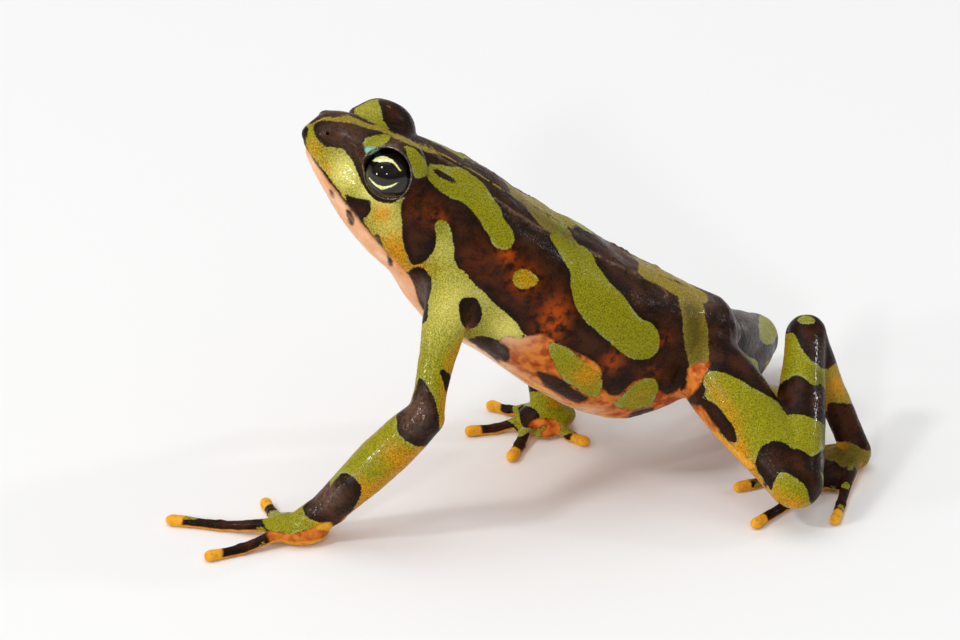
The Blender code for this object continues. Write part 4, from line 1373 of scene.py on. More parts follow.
TRUNK_MARKS = (
    Patch("shoulder stripe", Pigment.LIME, (
        (430, 164), (449, 167), (466, 170), (483, 184), (494, 199), (504, 218), (513, 233), (513, 245), (504, 250),
        (494, 245), (486, 231), (475, 215), (463, 202), (449, 197), (437, 188), (428, 178))),
    Patch("black streak", Pigment.DARK, ((434, 168), (444, 173), (455, 179), (456, 183), (446, 180), (436, 174))),
    Patch("back band", Pigment.OLIVE, (
        (511, 190), (527, 197), (535, 207), (547, 216), (556, 220), (567, 227), (573, 237), (584, 250), (600, 258),
        (585, 252), (566, 242), (548, 232), (538, 223), (531, 214), (521, 203), (512, 195))),
    Patch("flank stripe", Pigment.LIME, (
        (550, 233), (555, 246), (562, 258), (568, 267), (571, 276), (570, 285), (574, 298), (577, 309), (586, 323),
        (594, 328), (604, 337), (615, 347), (624, 354), (633, 359), (645, 359), (656, 354), (660, 344), (658, 332),
        (651, 324), (640, 318), (633, 309), (626, 300), (617, 289), (607, 279), (597, 264), (590, 253), (575, 243),
        (560, 234))),
    Patch("spot on the back", Pigment.LIME, ((557, 224), (562, 222), (567, 226), (566, 232), (559, 231))),
    Patch("rump top", Pigment.OLIVE, (
        (640, 263), (660, 275), (680, 284), (698, 291), (708, 297), (704, 303), (690, 298), (672, 293), (655, 284),
        (640, 275))),
    Patch("rump band", Pigment.OLIVE, RUMP_BAND),
    Patch("orange of the rump band", Pigment.WARM, RUMP_ORANGE),
    Patch("flank spot", Pigment.LIME, (
        (513, 277), (518, 270), (528, 270), (536, 275), (538, 281), (530, 287), (520, 288), (514, 283))),
    Patch("shoulder", Pigment.LIME, (
        (435, 223), (447, 221), (451, 233), (454, 245), (455, 261), (462, 275), (474, 284), (484, 292), (496, 305),
        (509, 315), (518, 325), (524, 335), (533, 339), (524, 352), (508, 350), (494, 342), (480, 336), (468, 340),
        (455, 336), (440, 330), (425, 320), (425, 300), (428, 280), (424, 265), (433, 252), (436, 240)),
        SHOULDER_SKIN, LEFT),
    Patch("lobe behind the eye", Pigment.DARK, (
        (403, 199), (420, 195), (434, 205), (435, 225), (435, 243), (432, 253), (424, 262), (415, 264), (407, 256),
        (403, 240), (402, 217))),
    Patch("band over the chest", Pigment.LIME, (
        (399, 266), (406, 261), (414, 265), (424, 263), (431, 254), (437, 256), (431, 267), (422, 269), (411, 271),
        (403, 279)), SHOULDER_SKIN, LEFT),
    Wash("amber over the chest", Tint.AMBER, (411, 268), 1.3, 0.9, SHOULDER_SKIN, LEFT),
    Patch("chest patch", Pigment.DARK, (
        (404, 277), (412, 269), (422, 267), (429, 274), (431, 287), (429, 302), (426, 321), (419, 322), (410, 308),
        (404, 292)), SHOULDER_SKIN, LEFT),
    Patch("spot behind the arm", Pigment.DARK, (
        (459, 303), (468, 297), (477, 299), (482, 310), (481, 320), (475, 327), (463, 327)), SHOULDER_SKIN, LEFT),
    Patch("orange flank", Pigment.WARM, (
        (503, 337), (522, 338), (543, 334), (555, 341), (575, 352), (599, 366), (603, 388), (616, 396), (640, 380),
        (656, 388), (668, 395), (680, 387), (690, 378), (703, 362), (708, 374), (694, 398), (674, 414), (645, 424),
        (612, 423), (583, 413), (555, 400), (526, 388), (503, 372), (499, 352))),
    Patch("wedge behind the arm", Pigment.DARK, (
        (474, 338), (486, 336), (500, 342), (510, 350), (508, 362), (497, 358), (486, 352))),
    Patch("lower flank", Pigment.LIME, (
        (548, 346), (556, 343), (569, 349), (578, 357), (589, 368), (599, 373), (602, 385), (597, 396), (586, 395),
        (575, 387), (562, 378))),
    Patch("rear flank", Pigment.LIME, (
        (622, 396), (633, 386), (644, 379), (655, 379), (658, 387), (656, 396), (650, 405), (638, 409), (624, 408),
        (612, 404))),
    Patch("front belly spot", Pigment.DARK, (
        (536, 372), (548, 373), (560, 378), (576, 390), (588, 398), (578, 403), (560, 395), (545, 385))),
    Patch("rear belly spot", Pigment.DARK, (
        (628, 418), (633, 411), (645, 408), (654, 407), (652, 414), (645, 419), (633, 421))),
    Patch("belly rim", Pigment.PALE, (
        (457, 335), (470, 341), (482, 350), (500, 364), (520, 378), (540, 391), (558, 402), (548, 402), (520, 386),
        (500, 372), (478, 357), (458, 345))),
    Streak("spine line", Pigment.OLIVE, (
        (430, 148), (446, 156), (462, 165), (480, 175), (500, 188), (520, 200), (545, 214), (572, 228)), 0.22),
    # raised folds of the back, each with a painted highlight along it
    Ridge("side of the back", (
        (421, 145), (440, 159), (462, 171), (480, 187), (497, 201), (516, 214), (532, 224), (548, 232), (563, 239),
        (582, 248), (599, 257), (612, 264), (631, 272), (647, 278), (660, 285), (667, 296)), 0.15, 0.14),
    Ridge("fold on the back", (
        (556, 216), (570, 225), (585, 234), (602, 239), (614, 245), (624, 251)), 0.13, 0.10),
    Wash("stripe end", Tint.RUST, (507, 254), 0.75, 1.0),
    Wash("halo of the flank spot", Tint.RUST, (524, 279), 1.15, 1.0),
    Wash("gold of the flank spot", Tint.AMBER, (526, 280), 1.0, 0.7),
    Wash("rust flank", Tint.RUST, (480, 262), 1.8, 0.15),
    Wash("rust under the stripe", Tint.RUST, (556, 312), 1.3, 0.85),
    Wash("rust low flank", Tint.RUST, (550, 330), 1.2, 0.8),
    Wash("rust rear flank", Tint.RUST, (612, 362), 1.0, 0.8),
    Wash("rust below the stripe", Tint.RUST, (664, 340), 0.8, 0.45),
    Wash("rust by the thigh", Tint.RUST, (650, 376), 1.0, 0.5),
    Wash("rust under the arm", Tint.RUST, (467, 330), 0.9, 1.0, SHOULDER_SKIN, LEFT),
    Wash("amber low flank", Tint.AMBER, (586, 376), 1.2, 0.95),
    Wash("amber rear flank", Tint.AMBER, (640, 396), 0.9, 0.35),
    Trail("amber of the rump band", Tint.AMBER, ((698, 358), (700, 372), (692, 386)), 0.9, 0.9),
    # painted shade down the rump band
    Trail("shade of the rump band", Tint.SHADE, ((692, 312), (695, 330), (697, 346)), 1.2, 0.75),
    Trail("wet rump", Tint.WET, ((684, 300), (697, 304), (712, 300)), 0.75, 1.0),
    Trail("wet groin", Tint.WET, ((714, 344), (726, 338), (735, 340)), 0.45, 1.0),
    Trail("wet rear flank", Tint.WET, ((656, 290), (664, 300)), 0.35, 0.6),
    Trail("wet belly rim", Tint.WET, ((530, 375), (545, 390), (560, 401)), 0.5, 0.8),
    Trail("wet chest wedge", Tint.WET, ((497, 342), (504, 352)), 0.35, 0.9),
    Trail("wet shoulder", Tint.WET, ((474, 287), (482, 297), (488, 306)), 0.3, 0.8, SHOULDER_SKIN, LEFT),
    Wash("wet chest patch", Tint.WET, (424, 284), 0.6, 1.0, SHOULDER_SKIN, LEFT),
    Wash("chalky shoulder", Tint.CHALK, (466, 300), 2.2, 0.7, SHOULDER_SKIN, LEFT),
    Wash("chalky flank", Tint.CHALK, (508, 330), 1.8, 0.9),
    Wash("chalky arm root", Tint.CHALK, (442, 250), 1.6, 0.5, SHOULDER_SKIN, LEFT),
    Wash("pale belly edge, front", Tint.CHALK, (508, 368), 1.0, 0.7),
    Wash("pale belly edge, middle", Tint.CHALK, (545, 396), 1.2, 0.8),
    Wash("pale belly edge, rear", Tint.CHALK, (590, 414), 1.1, 0.7),
    # painted sheen on the chest, the nape, the back, the rump and by the groin, and a darker tone over the back band
    Wash("bloom on the chest", Tint.BLOOM, (418, 290), 1.4, 0.35, SHOULDER_SKIN, LEFT),
    Wash("bloom on the nape", Tint.BLOOM, (470, 180), 2.6, 0.15),
    Trail("shade of the back band", Tint.SHADE, ((522, 202), (546, 222), (570, 236)), 1.3, 0.5),
    Wash("bloom behind", Tint.BLOOM, (625, 258), 2.6, 0.2),
    Wash("bloom on the rump", Tint.BLOOM, (690, 290), 2.0, 0.4),
    Wash("bloom by the groin", Tint.BLOOM, (685, 392), 0.8, 0.2),
)

THROAT_MARKS = (
    Patch("front throat spot", Pigment.DARK, ((329, 190), (333, 192), (335, 199), (331, 197))),
    Patch("middle throat spot", Pigment.DARK, ((346, 210), (351, 212), (355, 220), (353, 226), (348, 221))),
    Patch("rear throat spot", Pigment.DARK, ((375, 235), (380, 237), (384, 246), (379, 243))),
    Patch("jaw corner spot", Pigment.DARK, ((387, 254), (392, 259), (392, 268), (388, 262))),
    Wash("grey of the front spot", Tint.BLOOM, (332, 195), 0.5, 0.6),
    Wash("grey of the middle spot", Tint.BLOOM, (351, 218), 0.6, 0.7),
    Wash("grey of the rear spot", Tint.BLOOM, (380, 241), 0.6, 0.7),
)

LIMB_BANDS = (
    Band("upper arm", Pigment.LIME, ARM, -1.0, 0.94),
    Band("forearm", Pigment.LIME, FORE, 1.1, 1.8),
    Band("back of the hand", Pigment.LIME, FORE, 1.99, 2.34),
    Band("left thigh", Pigment.LIME, THIGH_SKIN, 0.28, 0.86, (LEFT,)),
    Band("right thigh", Pigment.LIME, THIGH_SKIN, 0.15, 0.45, (RIGHT,)),
    Band("knee", Pigment.LIME, KNEE_JOINT, 0.97, 1.05),
    Band("lower shank", Pigment.LIME, SHANK_SKIN, 1.22, 1.44),
    Band("upper shank", Pigment.LIME, SHANK_SKIN, 1.62, 1.86),
    Band("tarsus", Pigment.OLIVE, TARSUS_SKIN, 2.2, 2.6),
    Band("foot", Pigment.OLIVE, TARSUS_SKIN, 2.84, 3.25),
)

ARM_MARKS = (
    Patch("elbow", Pigment.DARK, (
        (418, 379), (425, 382), (434, 392), (440, 409), (437, 420), (441, 431), (435, 441), (424, 447), (407, 441),
        (397, 431), (399, 419), (411, 404)), ELBOW_JOINT, LEFT),
    Patch("elbow strip", Pigment.LIME, (
        (424, 378), (436, 381), (446, 398), (451, 413), (449, 431), (441, 431), (439, 415), (435, 400)),
        ELBOW_JOINT, LEFT),
    Patch("back of the elbow", Pigment.DARK, ((440, 372), (448, 372), (454, 385), (455, 405), (448, 396)),
          ELBOW_JOINT, LEFT),
    Patch("wrist band", Pigment.DARK, (
        (342, 473), (356, 480), (361, 490), (356, 504), (348, 515), (336, 521), (324, 523), (309, 519), (300, 511),
        (309, 500), (328, 489)), FORE, LEFT),
    Patch("hand back", Pigment.LIME, (
        (264, 515), (282, 509), (299, 506), (309, 519), (320, 524), (308, 530), (292, 533), (275, 532), (266, 527)),
        FORE, LEFT),
    Patch("side of the hand", Pigment.WARM, (
        (268, 531), (290, 534), (306, 531), (320, 524), (332, 523), (328, 537), (305, 548), (275, 545)), FORE, LEFT),
    Trail("amber side of the hand", Tint.AMBER, ((280, 538), (300, 536), (322, 528)), 0.9, 0.9, FORE, LEFT),
    Wash("amber forearm", Tint.AMBER, (395, 455), 1.2, 0.7, FORE, LEFT, False),
    Wash("amber wrist", Tint.AMBER, (362, 488), 1.0, 0.7, FORE, LEFT, False),
    Wash("chalky arm", Tint.CHALK, (438, 320), 2.4, 0.35, ARM, LEFT, False),
    # painted sheen on the wrist and the elbow
    Wash("bloom on the wrist", Tint.BLOOM, (326, 494), 1.4, 0.55, FORE, LEFT, False),
    Wash("bloom on the elbow", Tint.BLOOM, (412, 408), 1.5, 0.55, ELBOW_JOINT, LEFT, False),
    Trail("wet upper arm", Tint.WET, ((427, 338), (427, 356), (427, 374), (425, 388)), 0.35, 1.0, ARM, LEFT),
    Trail("wet elbow", Tint.WET, ((424, 412), (418, 424), (405, 432)), 0.6, 1.0, ELBOW_JOINT, LEFT),
    Trail("wet forearm", Tint.WET, ((397, 439), (380, 452), (366, 465), (350, 478)), 0.4, 1.0, FORE, LEFT),
    Trail("wet wrist", Tint.WET, ((340, 488), (322, 502), (306, 513), (299, 520)), 0.5, 1.0, FORE, LEFT),
    Patch("far palm", Pigment.LIME, ((522, 396), (540, 392), (560, 398), (568, 412), (552, 420), (530, 414)),
          FORE, RIGHT),
    Patch("far knuckle", Pigment.DARK, ((518, 408), (528, 406), (539, 414), (536, 428), (524, 428)), FORE, RIGHT),
    Patch("far web", Pigment.WARM, ((529, 424), (545, 418), (560, 424), (556, 438), (534, 438)), FORE, RIGHT),
)

LEG_MARKS = (
    Patch("top of the thigh", Pigment.DARK, (
        (700, 330), (730, 335), (760, 365), (786, 392), (784, 412), (777, 402), (754, 389), (733, 377), (711, 371),
        (703, 380), (696, 395), (690, 370)), THIGH_SKIN, LEFT),
    Patch("rump band on the thigh", Pigment.OLIVE, RUMP_BAND, THIGH_SKIN, LEFT),
    Patch("orange on the thigh", Pigment.WARM, RUMP_ORANGE, THIGH_SKIN, LEFT),
    # painted shade down the rump band where it crosses the thigh
    Trail("shade on the thigh", Tint.SHADE, ((695, 330), (698, 346), (698, 358)), 1.0, 0.6, THIGH_SKIN, LEFT),
    Patch("thigh top", Pigment.LIME, (
        (703, 380), (711, 371), (733, 377), (754, 389), (777, 402), (784, 415), (786, 438), (772, 441), (761, 447),
        (755, 461), (745, 453), (736, 440), (733, 426), (724, 410), (715, 397), (706, 388)), THIGH_SKIN, LEFT),
    Patch("thigh edge", Pigment.DARK, (
        (698, 398), (711, 402), (724, 413), (733, 427), (737, 442), (727, 440), (716, 427), (705, 412)),
        THIGH_SKIN, LEFT),
    Patch("thigh underside", Pigment.WARM, (
        (684, 411), (700, 406), (708, 417), (717, 428), (728, 442), (742, 452), (756, 466), (745, 468), (715, 442)),
        THIGH_SKIN, LEFT),
    Patch("knee band", Pigment.DARK, (
        (755, 461), (762, 446), (776, 441), (788, 443), (792, 448), (804, 450), (814, 458), (820, 471), (823, 492),
        (815, 506), (809, 499), (806, 489), (797, 478), (783, 471), (774, 480), (772, 492), (764, 480), (757, 469)),
        KNEE_JOINT, LEFT),
    Patch("knee end", Pigment.LIME, (
        (775, 481), (783, 472), (795, 478), (802, 489), (809, 497), (808, 504), (799, 509), (786, 507), (777, 498)),
        KNEE_JOINT, LEFT),
    Patch("upper shank", Pigment.LIME, (
        (779, 334), (786, 334), (794, 334), (801, 346), (811, 358), (826, 367), (824, 376), (819, 385), (808, 383),
        (799, 376), (790, 378), (782, 386), (778, 360)), SHANK_SKIN, LEFT),
    Patch("heel band", Pigment.DARK, (
        (783, 331), (785, 321), (795, 316), (819, 320), (829, 331), (829, 368), (811, 360), (801, 346), (794, 333)),
        HEEL_JOINT, LEFT),
    Patch("heel spot", Pigment.LIME, ((797, 319), (806, 315), (815, 319), (813, 324), (801, 323)), HEEL_JOINT, LEFT),
    Patch("shank band", Pigment.DARK, (
        (780, 386), (790, 378), (799, 376), (808, 381), (817, 391), (827, 396), (827, 424), (813, 419), (801, 415),
        (790, 415), (781, 417)), SHANK_SKIN, LEFT),
    Patch("lower shank", Pigment.LIME, (
        (783, 418), (790, 415), (801, 415), (813, 419), (827, 428), (826, 444), (814, 456), (802, 450), (792, 449),
        (785, 440)), SHANK_SKIN, LEFT),
    Patch("tarsus top", Pigment.DARK, ((827, 336), (838, 352), (842, 366), (830, 374), (825, 360)),
          TARSUS_SKIN, LEFT),
    Patch("tarsus mid", Pigment.OLIVE, ((826, 372), (841, 364), (849, 380), (858, 404), (843, 404), (829, 404)),
          TARSUS_SKIN, LEFT),
    Patch("tarsus band", Pigment.DARK, (
        (827, 406), (842, 403), (856, 406), (862, 421), (870, 450), (845, 441), (829, 440)), TARSUS_SKIN, LEFT),
    Wash("amber tarsus", Tint.AMBER, (838, 385), 1.0, 0.6, TARSUS_SKIN, LEFT, False),
    Wash("amber knee", Tint.AMBER, (797, 502), 0.7, 0.45, KNEE_JOINT, LEFT, False),
    Trail("amber thigh", Tint.AMBER, ((712, 388), (724, 404), (734, 422), (740, 446)), 0.7, 0.55, THIGH_SKIN, LEFT),
    # painted shade on the shank's turned side, and a darker tone over the foot
    Trail("shade of the shank", Tint.SHADE, ((820, 376), (823, 410), (824, 440)), 0.8, 0.6, SHANK_SKIN, LEFT),
    Wash("shade of the foot", Tint.SHADE, (846, 458), 2.2, 0.75, TARSUS_SKIN, LEFT, False),
    Trail("wet thigh", Tint.WET, ((710, 376), (717, 388), (724, 399)), 0.45, 1.0, THIGH_SKIN, LEFT),
    Trail("wet knee", Tint.WET, ((762, 458), (771, 467), (782, 477)), 0.4, 1.0, KNEE_JOINT, LEFT),
    Trail("wet shank", Tint.WET, ((817, 374), (817, 392), (817, 412), (819, 438), (822, 462)), 0.4, 1.0,
          KNEE_JOINT, LEFT),
    Trail("wet heel", Tint.WET, ((817, 346), (817, 360)), 0.7, 1.0, HEEL_JOINT, LEFT),
    Trail("wet heel top", Tint.WET, ((784, 328), (790, 319)), 0.35, 0.8, HEEL_JOINT, LEFT),
    Wash("wet instep", Tint.WET, (852, 468), 0.45, 0.9, TARSUS_SKIN, LEFT, False),
    Trail("wet far knee", Tint.WET, ((736, 325), (746, 328)), 0.35, 0.5, KNEE_JOINT, RIGHT),
    Patch("far thigh", Pigment.DARK, (
        (728, 312), (745, 310), (760, 312), (780, 320), (782, 345), (765, 362), (740, 350), (728, 330)),
          KNEE_JOINT, RIGHT),
    Patch("far knee", Pigment.LIME, ((759, 318), (768, 316), (777, 328), (776, 338), (768, 345), (760, 338)),
          KNEE_JOINT, RIGHT),
)


@dataclass
class Harlequin:
    """The frog's coat of markings, painted from the ground colour up."""

    face: Face

    def paint(self, canvas: Canvas) -> None:
        """Paints the limbs' rings, the photograph's markings, the underside below the mouth's line, the limbs' inner
        sides and the digits.
        """
        for mark in LIMB_BANDS + HEAD_MARKS + TRUNK_MARKS:
            mark.paint(canvas)
        self.underside(canvas)
        self.inner_sides(canvas)
        for mark in THROAT_MARKS + ARM_MARKS + LEG_MARKS:
            mark.paint(canvas)
        self.digits(canvas)

    def inner_sides(self, canvas: Canvas) -> None:
        """Yellows the limbs' skin as it turns away from their backs, and makes it orange underneath."""
        for parts, outer in ((ARM_LENGTH, ARM_BACK), (LEG_LENGTH, LEG_BACK)):
            for side in Side:
                chosen = canvas.regions.among(parts, side)
                normals = canvas.normals if side is Side.LEFT else canvas.mirror_normals
                turned = -normals @ unit(outer) - 0.8 * (1 - ease(canvas.regions.place, 0.3, 0.6))
                gold = 0.85 * ease(turned, -0.35, 0.55) * (1 - 0.8 * ease(turned, 0.55, 0.8))
                canvas.tints[Tint.AMBER] = np.where(chosen, gold, canvas.tints[Tint.AMBER])
                inside = np.clip(1.5 * (turned - 0.62) + canvas.wobble, -FAR_MM, FAR_MM)
                canvas.lay(Pigment.WARM, np.where(chosen, inside, -FAR_MM))

    def underside(self, canvas: Canvas) -> None:
        """Pale throat and belly: below the mouth's line in front, and low on the section behind."""
        along, above, _ = AXIS.measures(canvas.points)
        _, height, _ = canvas.trunk.shares(canvas.points)
        _, bottom, level, _ = canvas.trunk.section(along)
        trunk = canvas.regions.among((Part.TRUNK,))
        jaw = curve_at(self.face.mouth, np.maximum(along, 1.0)) - above
        low = (-0.86 - height) * (level - bottom)
        front = 1 - ease(along, 10.5, 15.5)
        inside = front * jaw + (1 - front) * low + 0.5 * canvas.wobble
        canvas.lay(Pigment.PALE, np.where(trunk, np.clip(inside, -FAR_MM, FAR_MM), -FAR_MM))
        blush = trunk * (0.45 + 0.5 * smooth_noise(canvas.points, 3.0, 61)) * (1 - ease(along, 14.0, 20.0))
        belly = trunk * ease(along, 20.0, 30.0) * (0.65 + 0.6 * smooth_noise(canvas.points, 3.4, 62))
        canvas.tints[Tint.AMBER] = np.clip(
            np.maximum(canvas.tints[Tint.AMBER], np.where(canvas.pigments[Pigment.PALE] > -0.4, blush + belly, 0)),
            0, 1)

    def digits(self, canvas: Canvas) -> None:
        """Orange tips and undersides, and green flecks on the backs of the fingers and toes."""
        regions, points = canvas.regions, canvas.points
        ends = regions.among((Part.HAND, Part.FOOT))
        fleck = smooth_noise(points, 1.5, 71) - 0.42
        canvas.lay(Pigment.LIME, np.where(ends & (regions.place > 2.25), fleck, -FAR_MM))
        low = 1.2 * (-0.12 - canvas.normals[:, 2]) + 0.25 * canvas.wobble
        canvas.lay(Pigment.WARM, np.where(ends, np.clip(low, -FAR_MM, FAR_MM), -FAR_MM))
        tip = 0.95 + 0.25 * smooth_noise(points, 1.0, 72) - regions.from_tip
        canvas.lay(Pigment.WARM, np.where(ends, np.clip(tip, -FAR_MM, FAR_MM), -FAR_MM))
        gold = np.maximum(ease(tip, -0.6, 0.2), 0.75 * ease(low, -0.1, 0.3))
        canvas.tints[Tint.AMBER] = np.where(ends, gold, canvas.tints[Tint.AMBER])
        canvas.tints[Tint.CHALK] = np.where(ends, 0.0, canvas.tints[Tint.CHALK])


class Graph:
    """Builds one material's nodes by short calls."""

    def __init__(self, name: str) -> None:
        """Starts a material with its Principled shader."""
        self.material = bpy.data.materials.new(name)
        self.material.use_nodes = True
        self.nodes, self.links = self.material.node_tree.nodes, self.material.node_tree.links
        self.shader = self.nodes["Principled BSDF"]
        self.place = self.nodes.new("ShaderNodeTexCoord").outputs["Object"]

    def put(self, value: "Socket | float | tuple", socket: Socket) -> None:
        """Links a socket to another, or sets it to a value."""
        if isinstance(value, bpy.types.NodeSocket):
            self.links.new(value, socket)
        elif isinstance(value, tuple) and len(value) == 3 and socket.type == "RGBA":
            socket.default_value = (*value, 1.0)
        else:
            socket.default_value = value

    def attribute(self, name: str) -> Socket:
        """The mesh's attribute of this name as a number."""
        node = self.nodes.new("ShaderNodeAttribute")
        node.attribute_name = name
        return node.outputs["Fac"]

    def noise(self, size: float, detail: float = 2.0, roughness: float = 0.5) -> Socket:
        """Noise whose cells are this many millimetres."""
        node = self.nodes.new("ShaderNodeTexNoise")
        self.put(self.place, node.inputs["Vector"])
        node.inputs["Scale"].default_value = 1.0 / (size * MM)
        node.inputs["Detail"].default_value = detail
        node.inputs["Roughness"].default_value = roughness
        return node.outputs["Fac"]

    def cells(self, size: float, feature: str = "F1") -> Socket:
        """The distance from the middle of the nearest cell of this many millimetres."""
        node = self.nodes.new("ShaderNodeTexVoronoi")
        node.feature = feature
        self.put(self.place, node.inputs["Vector"])
        node.inputs["Scale"].default_value = 1.0 / (size * MM)
        return node.outputs["Distance"]

    def math(self, operation: str, one: "Socket | float", other: "Socket | float" = 0.0) -> Socket:
        """One sum of two numbers."""
        node = self.nodes.new("ShaderNodeMath")
        node.operation = operation
        self.put(one, node.inputs[0])
        self.put(other, node.inputs[1])
        return node.outputs[0]

    def step(self, value: Socket, low: float, high: float, start: float = 0.0, end: float = 1.0) -> Socket:
        """Start below low, end above high, and a smooth step between them."""
        node = self.nodes.new("ShaderNodeMapRange")
        node.interpolation_type = "SMOOTHSTEP"
        self.put(value, node.inputs["Value"])
        for name, number in (("From Min", low), ("From Max", high), ("To Min", start), ("To Max", end)):
            node.inputs[name].default_value = number
        return node.outputs["Result"]

    def mix(self, share: "Socket | float", one: "Socket | Point", other: "Socket | Point",
            kind: str = "MIX") -> Socket:
        """A mix of two colours."""
        node = self.nodes.new("ShaderNodeMix")
        node.data_type, node.blend_type = "RGBA", kind
        self.put(share, node.inputs[0])
        self.put(one, node.inputs[6])
        self.put(other, node.inputs[7])
        return node.outputs[2]

    def bump(self, height: Socket, depth: float, strength: float = 1.0) -> None:
        """A bump of this many millimetres on the shader."""
        node = self.nodes.new("ShaderNodeBump")
        node.inputs["Distance"].default_value = depth * MM
        node.inputs["Strength"].default_value = strength
        self.put(height, node.inputs["Height"])
        self.put(node.outputs["Normal"], self.shader.inputs["Normal"])
        self.put(node.outputs["Normal"], self.shader.inputs["Coat Normal"])


@dataclass(frozen=True)
class SkinFinish:
    """Moist, finely granular skin in the harlequin's colours, with a painted sheen and painted shade in places."""

    dark_low: Point = (0.010, 0.004, 0.002)
    dark_high: Point = (0.055, 0.017, 0.006)
    rust: Point = (0.42, 0.065, 0.003)
    # colour of the painted sheen, and of the brown tone, over the dark skin
    bloom: Point = (0.24, 0.13, 0.08)
    lime_low: Point = (0.110, 0.108, 0.002)
    lime_high: Point = (0.345, 0.315, 0.010)
    fringe: Point = (0.40, 0.46, 0.18)
    amber: Point = (0.86, 0.30, 0.005)
    chalk: Point = (0.90, 0.80, 0.20)
    olive_low: Point = (0.130, 0.095, 0.008)
    olive_high: Point = (0.400, 0.290, 0.035)
    warm_low: Point = (0.36, 0.050, 0.004)
    warm_high: Point = (0.70, 0.21, 0.028)
    peach: Point = (0.85, 0.56, 0.36)
    tip: Point = (0.86, 0.43, 0.025)
    pale_low: Point = (0.82, 0.44, 0.22)
    pale_high: Point = (0.92, 0.64, 0.42)
    blush: Point = (0.75, 0.24, 0.05)
    blue: Point = (0.22, 0.52, 0.44)
    # colour that the painted shade and the darker tone bring lime and olive towards
    shade: Point = (0.045, 0.032, 0.002)

    def build(self) -> bpy.types.Material:
        """The material.

        Each pigment's distance is disturbed by two noises, turned into a mask by a smooth step, and laid
        over the ground colour in turn.

        Returns:
            The finished material.
        """
        g = Graph("harlequin_skin")
        broad, fine, grit = g.noise(1.6, 3.0), g.noise(0.34, 2.0, 0.6), g.noise(0.115, 2.0, 0.6)
        cells = g.cells(0.24)
        ragged = g.math("ADD", g.math("MULTIPLY", g.math("SUBTRACT", fine, 0.5), 0.14),
                        g.math("MULTIPLY", g.math("SUBTRACT", grit, 0.5), 0.20))

        def mask(name: str, soft: float = 0.05) -> Socket:
            """Where a pigment covers the skin."""
            return g.step(g.math("ADD", g.attribute(name), ragged), -soft, soft)

        rust = g.math("MULTIPLY", g.attribute("rust"), g.step(g.noise(0.7, 3.0), 0.34, 0.60))
        # painted sheen, with some brown tone, over the dark ground
        bloom = g.math("MULTIPLY", g.attribute("bloom"), g.step(fine, 0.3, 0.7, 0.4, 1.0))
        grain = g.math("ADD", g.math("MULTIPLY", broad, 0.6), g.math("MULTIPLY", grit, 0.4))
        dark = g.mix(g.step(grain, 0.38, 0.62), self.dark_low, self.dark_high)
        dark = g.mix(g.step(g.attribute("lime"), -0.9, -0.1, 0.0, 0.8), dark, self.dark_low)
        dark = g.mix(bloom, g.mix(rust, dark, self.rust), self.bloom)
        stipple = g.step(grit, 0.36, 0.62, 0.2, 1.0)
        # share of painted shade and darker tone on lime and olive
        darker_tone_and_shade = g.attribute("shade")
        chalk = g.attribute("chalk")
        amber = g.math("MULTIPLY", g.attribute("amber"), g.step(fine, 0.25, 0.65, 0.55, 1.0))
        lime = g.mix(chalk, self.lime_high, self.chalk)
        lime = g.mix(amber, lime, self.amber)
        shade = g.mix(g.step(chalk, 0.0, 1.0, 0.0, 0.55), self.lime_low, lime)
        lime = g.mix(stipple, shade, lime)
        edge = g.math("MULTIPLY", g.step(g.attribute("lime"), 0.05, 0.40, 0.5, 0.0), stipple)
        lime = g.mix(g.math("MULTIPLY", edge, g.step(broad, 0.45, 0.65)), lime, self.fringe)
        lime = g.mix(darker_tone_and_shade, lime, self.shade)
        olive = g.mix(darker_tone_and_shade, g.mix(stipple, self.olive_low, self.olive_high), self.shade)
        olive = g.mix(amber, olive, self.amber)
        warm = g.mix(g.step(g.noise(0.9, 3.0), 0.36, 0.64), self.warm_low, self.warm_high)
        warm = g.mix(chalk, g.mix(amber, warm, self.tip), self.peach)
        pale = g.mix(g.step(broad, 0.3, 0.7), self.pale_low, self.pale_high)
        pale = g.mix(amber, pale, self.blush)
        colour = dark
        layers = (("olive", olive, 0.05), ("warm", warm, 0.14), ("lime", lime, 0.05), ("pale", pale, 0.12),
                  ("blue", self.blue, 0.12))
        for name, paint, soft in layers:
            colour = g.mix(mask(name, soft), colour, paint)
        shader = g.shader
        g.put(colour, shader.inputs["Base Color"])
        g.put(g.step(fine, 0.3, 0.7, 0.24, 0.42), shader.inputs["Roughness"])
        shader.inputs["Specular IOR Level"].default_value = 0.06
        wet = g.math("MULTIPLY", g.attribute("wet"), g.step(fine, 0.35, 0.6, 0.35, 0.9))
        g.put(g.math("ADD", wet, 0.04), shader.inputs["Coat Weight"])
        shader.inputs["Coat Roughness"].default_value = 0.08
        shader.inputs["Subsurface Weight"].default_value = 0.12
        shader.inputs["Subsurface Radius"].default_value = (1.0, 0.35, 0.12)
        shader.inputs["Subsurface Scale"].default_value = 0.7 * MM
        height = g.math("ADD", g.step(cells, 0.0, 0.45, 0.6, 0.0), g.math("MULTIPLY", fine, 0.9))
        height = g.math("ADD", height, g.math("MULTIPLY", g.noise(0.9, 2.0), 1.2))
        g.bump(height, 0.035)
        return g.material


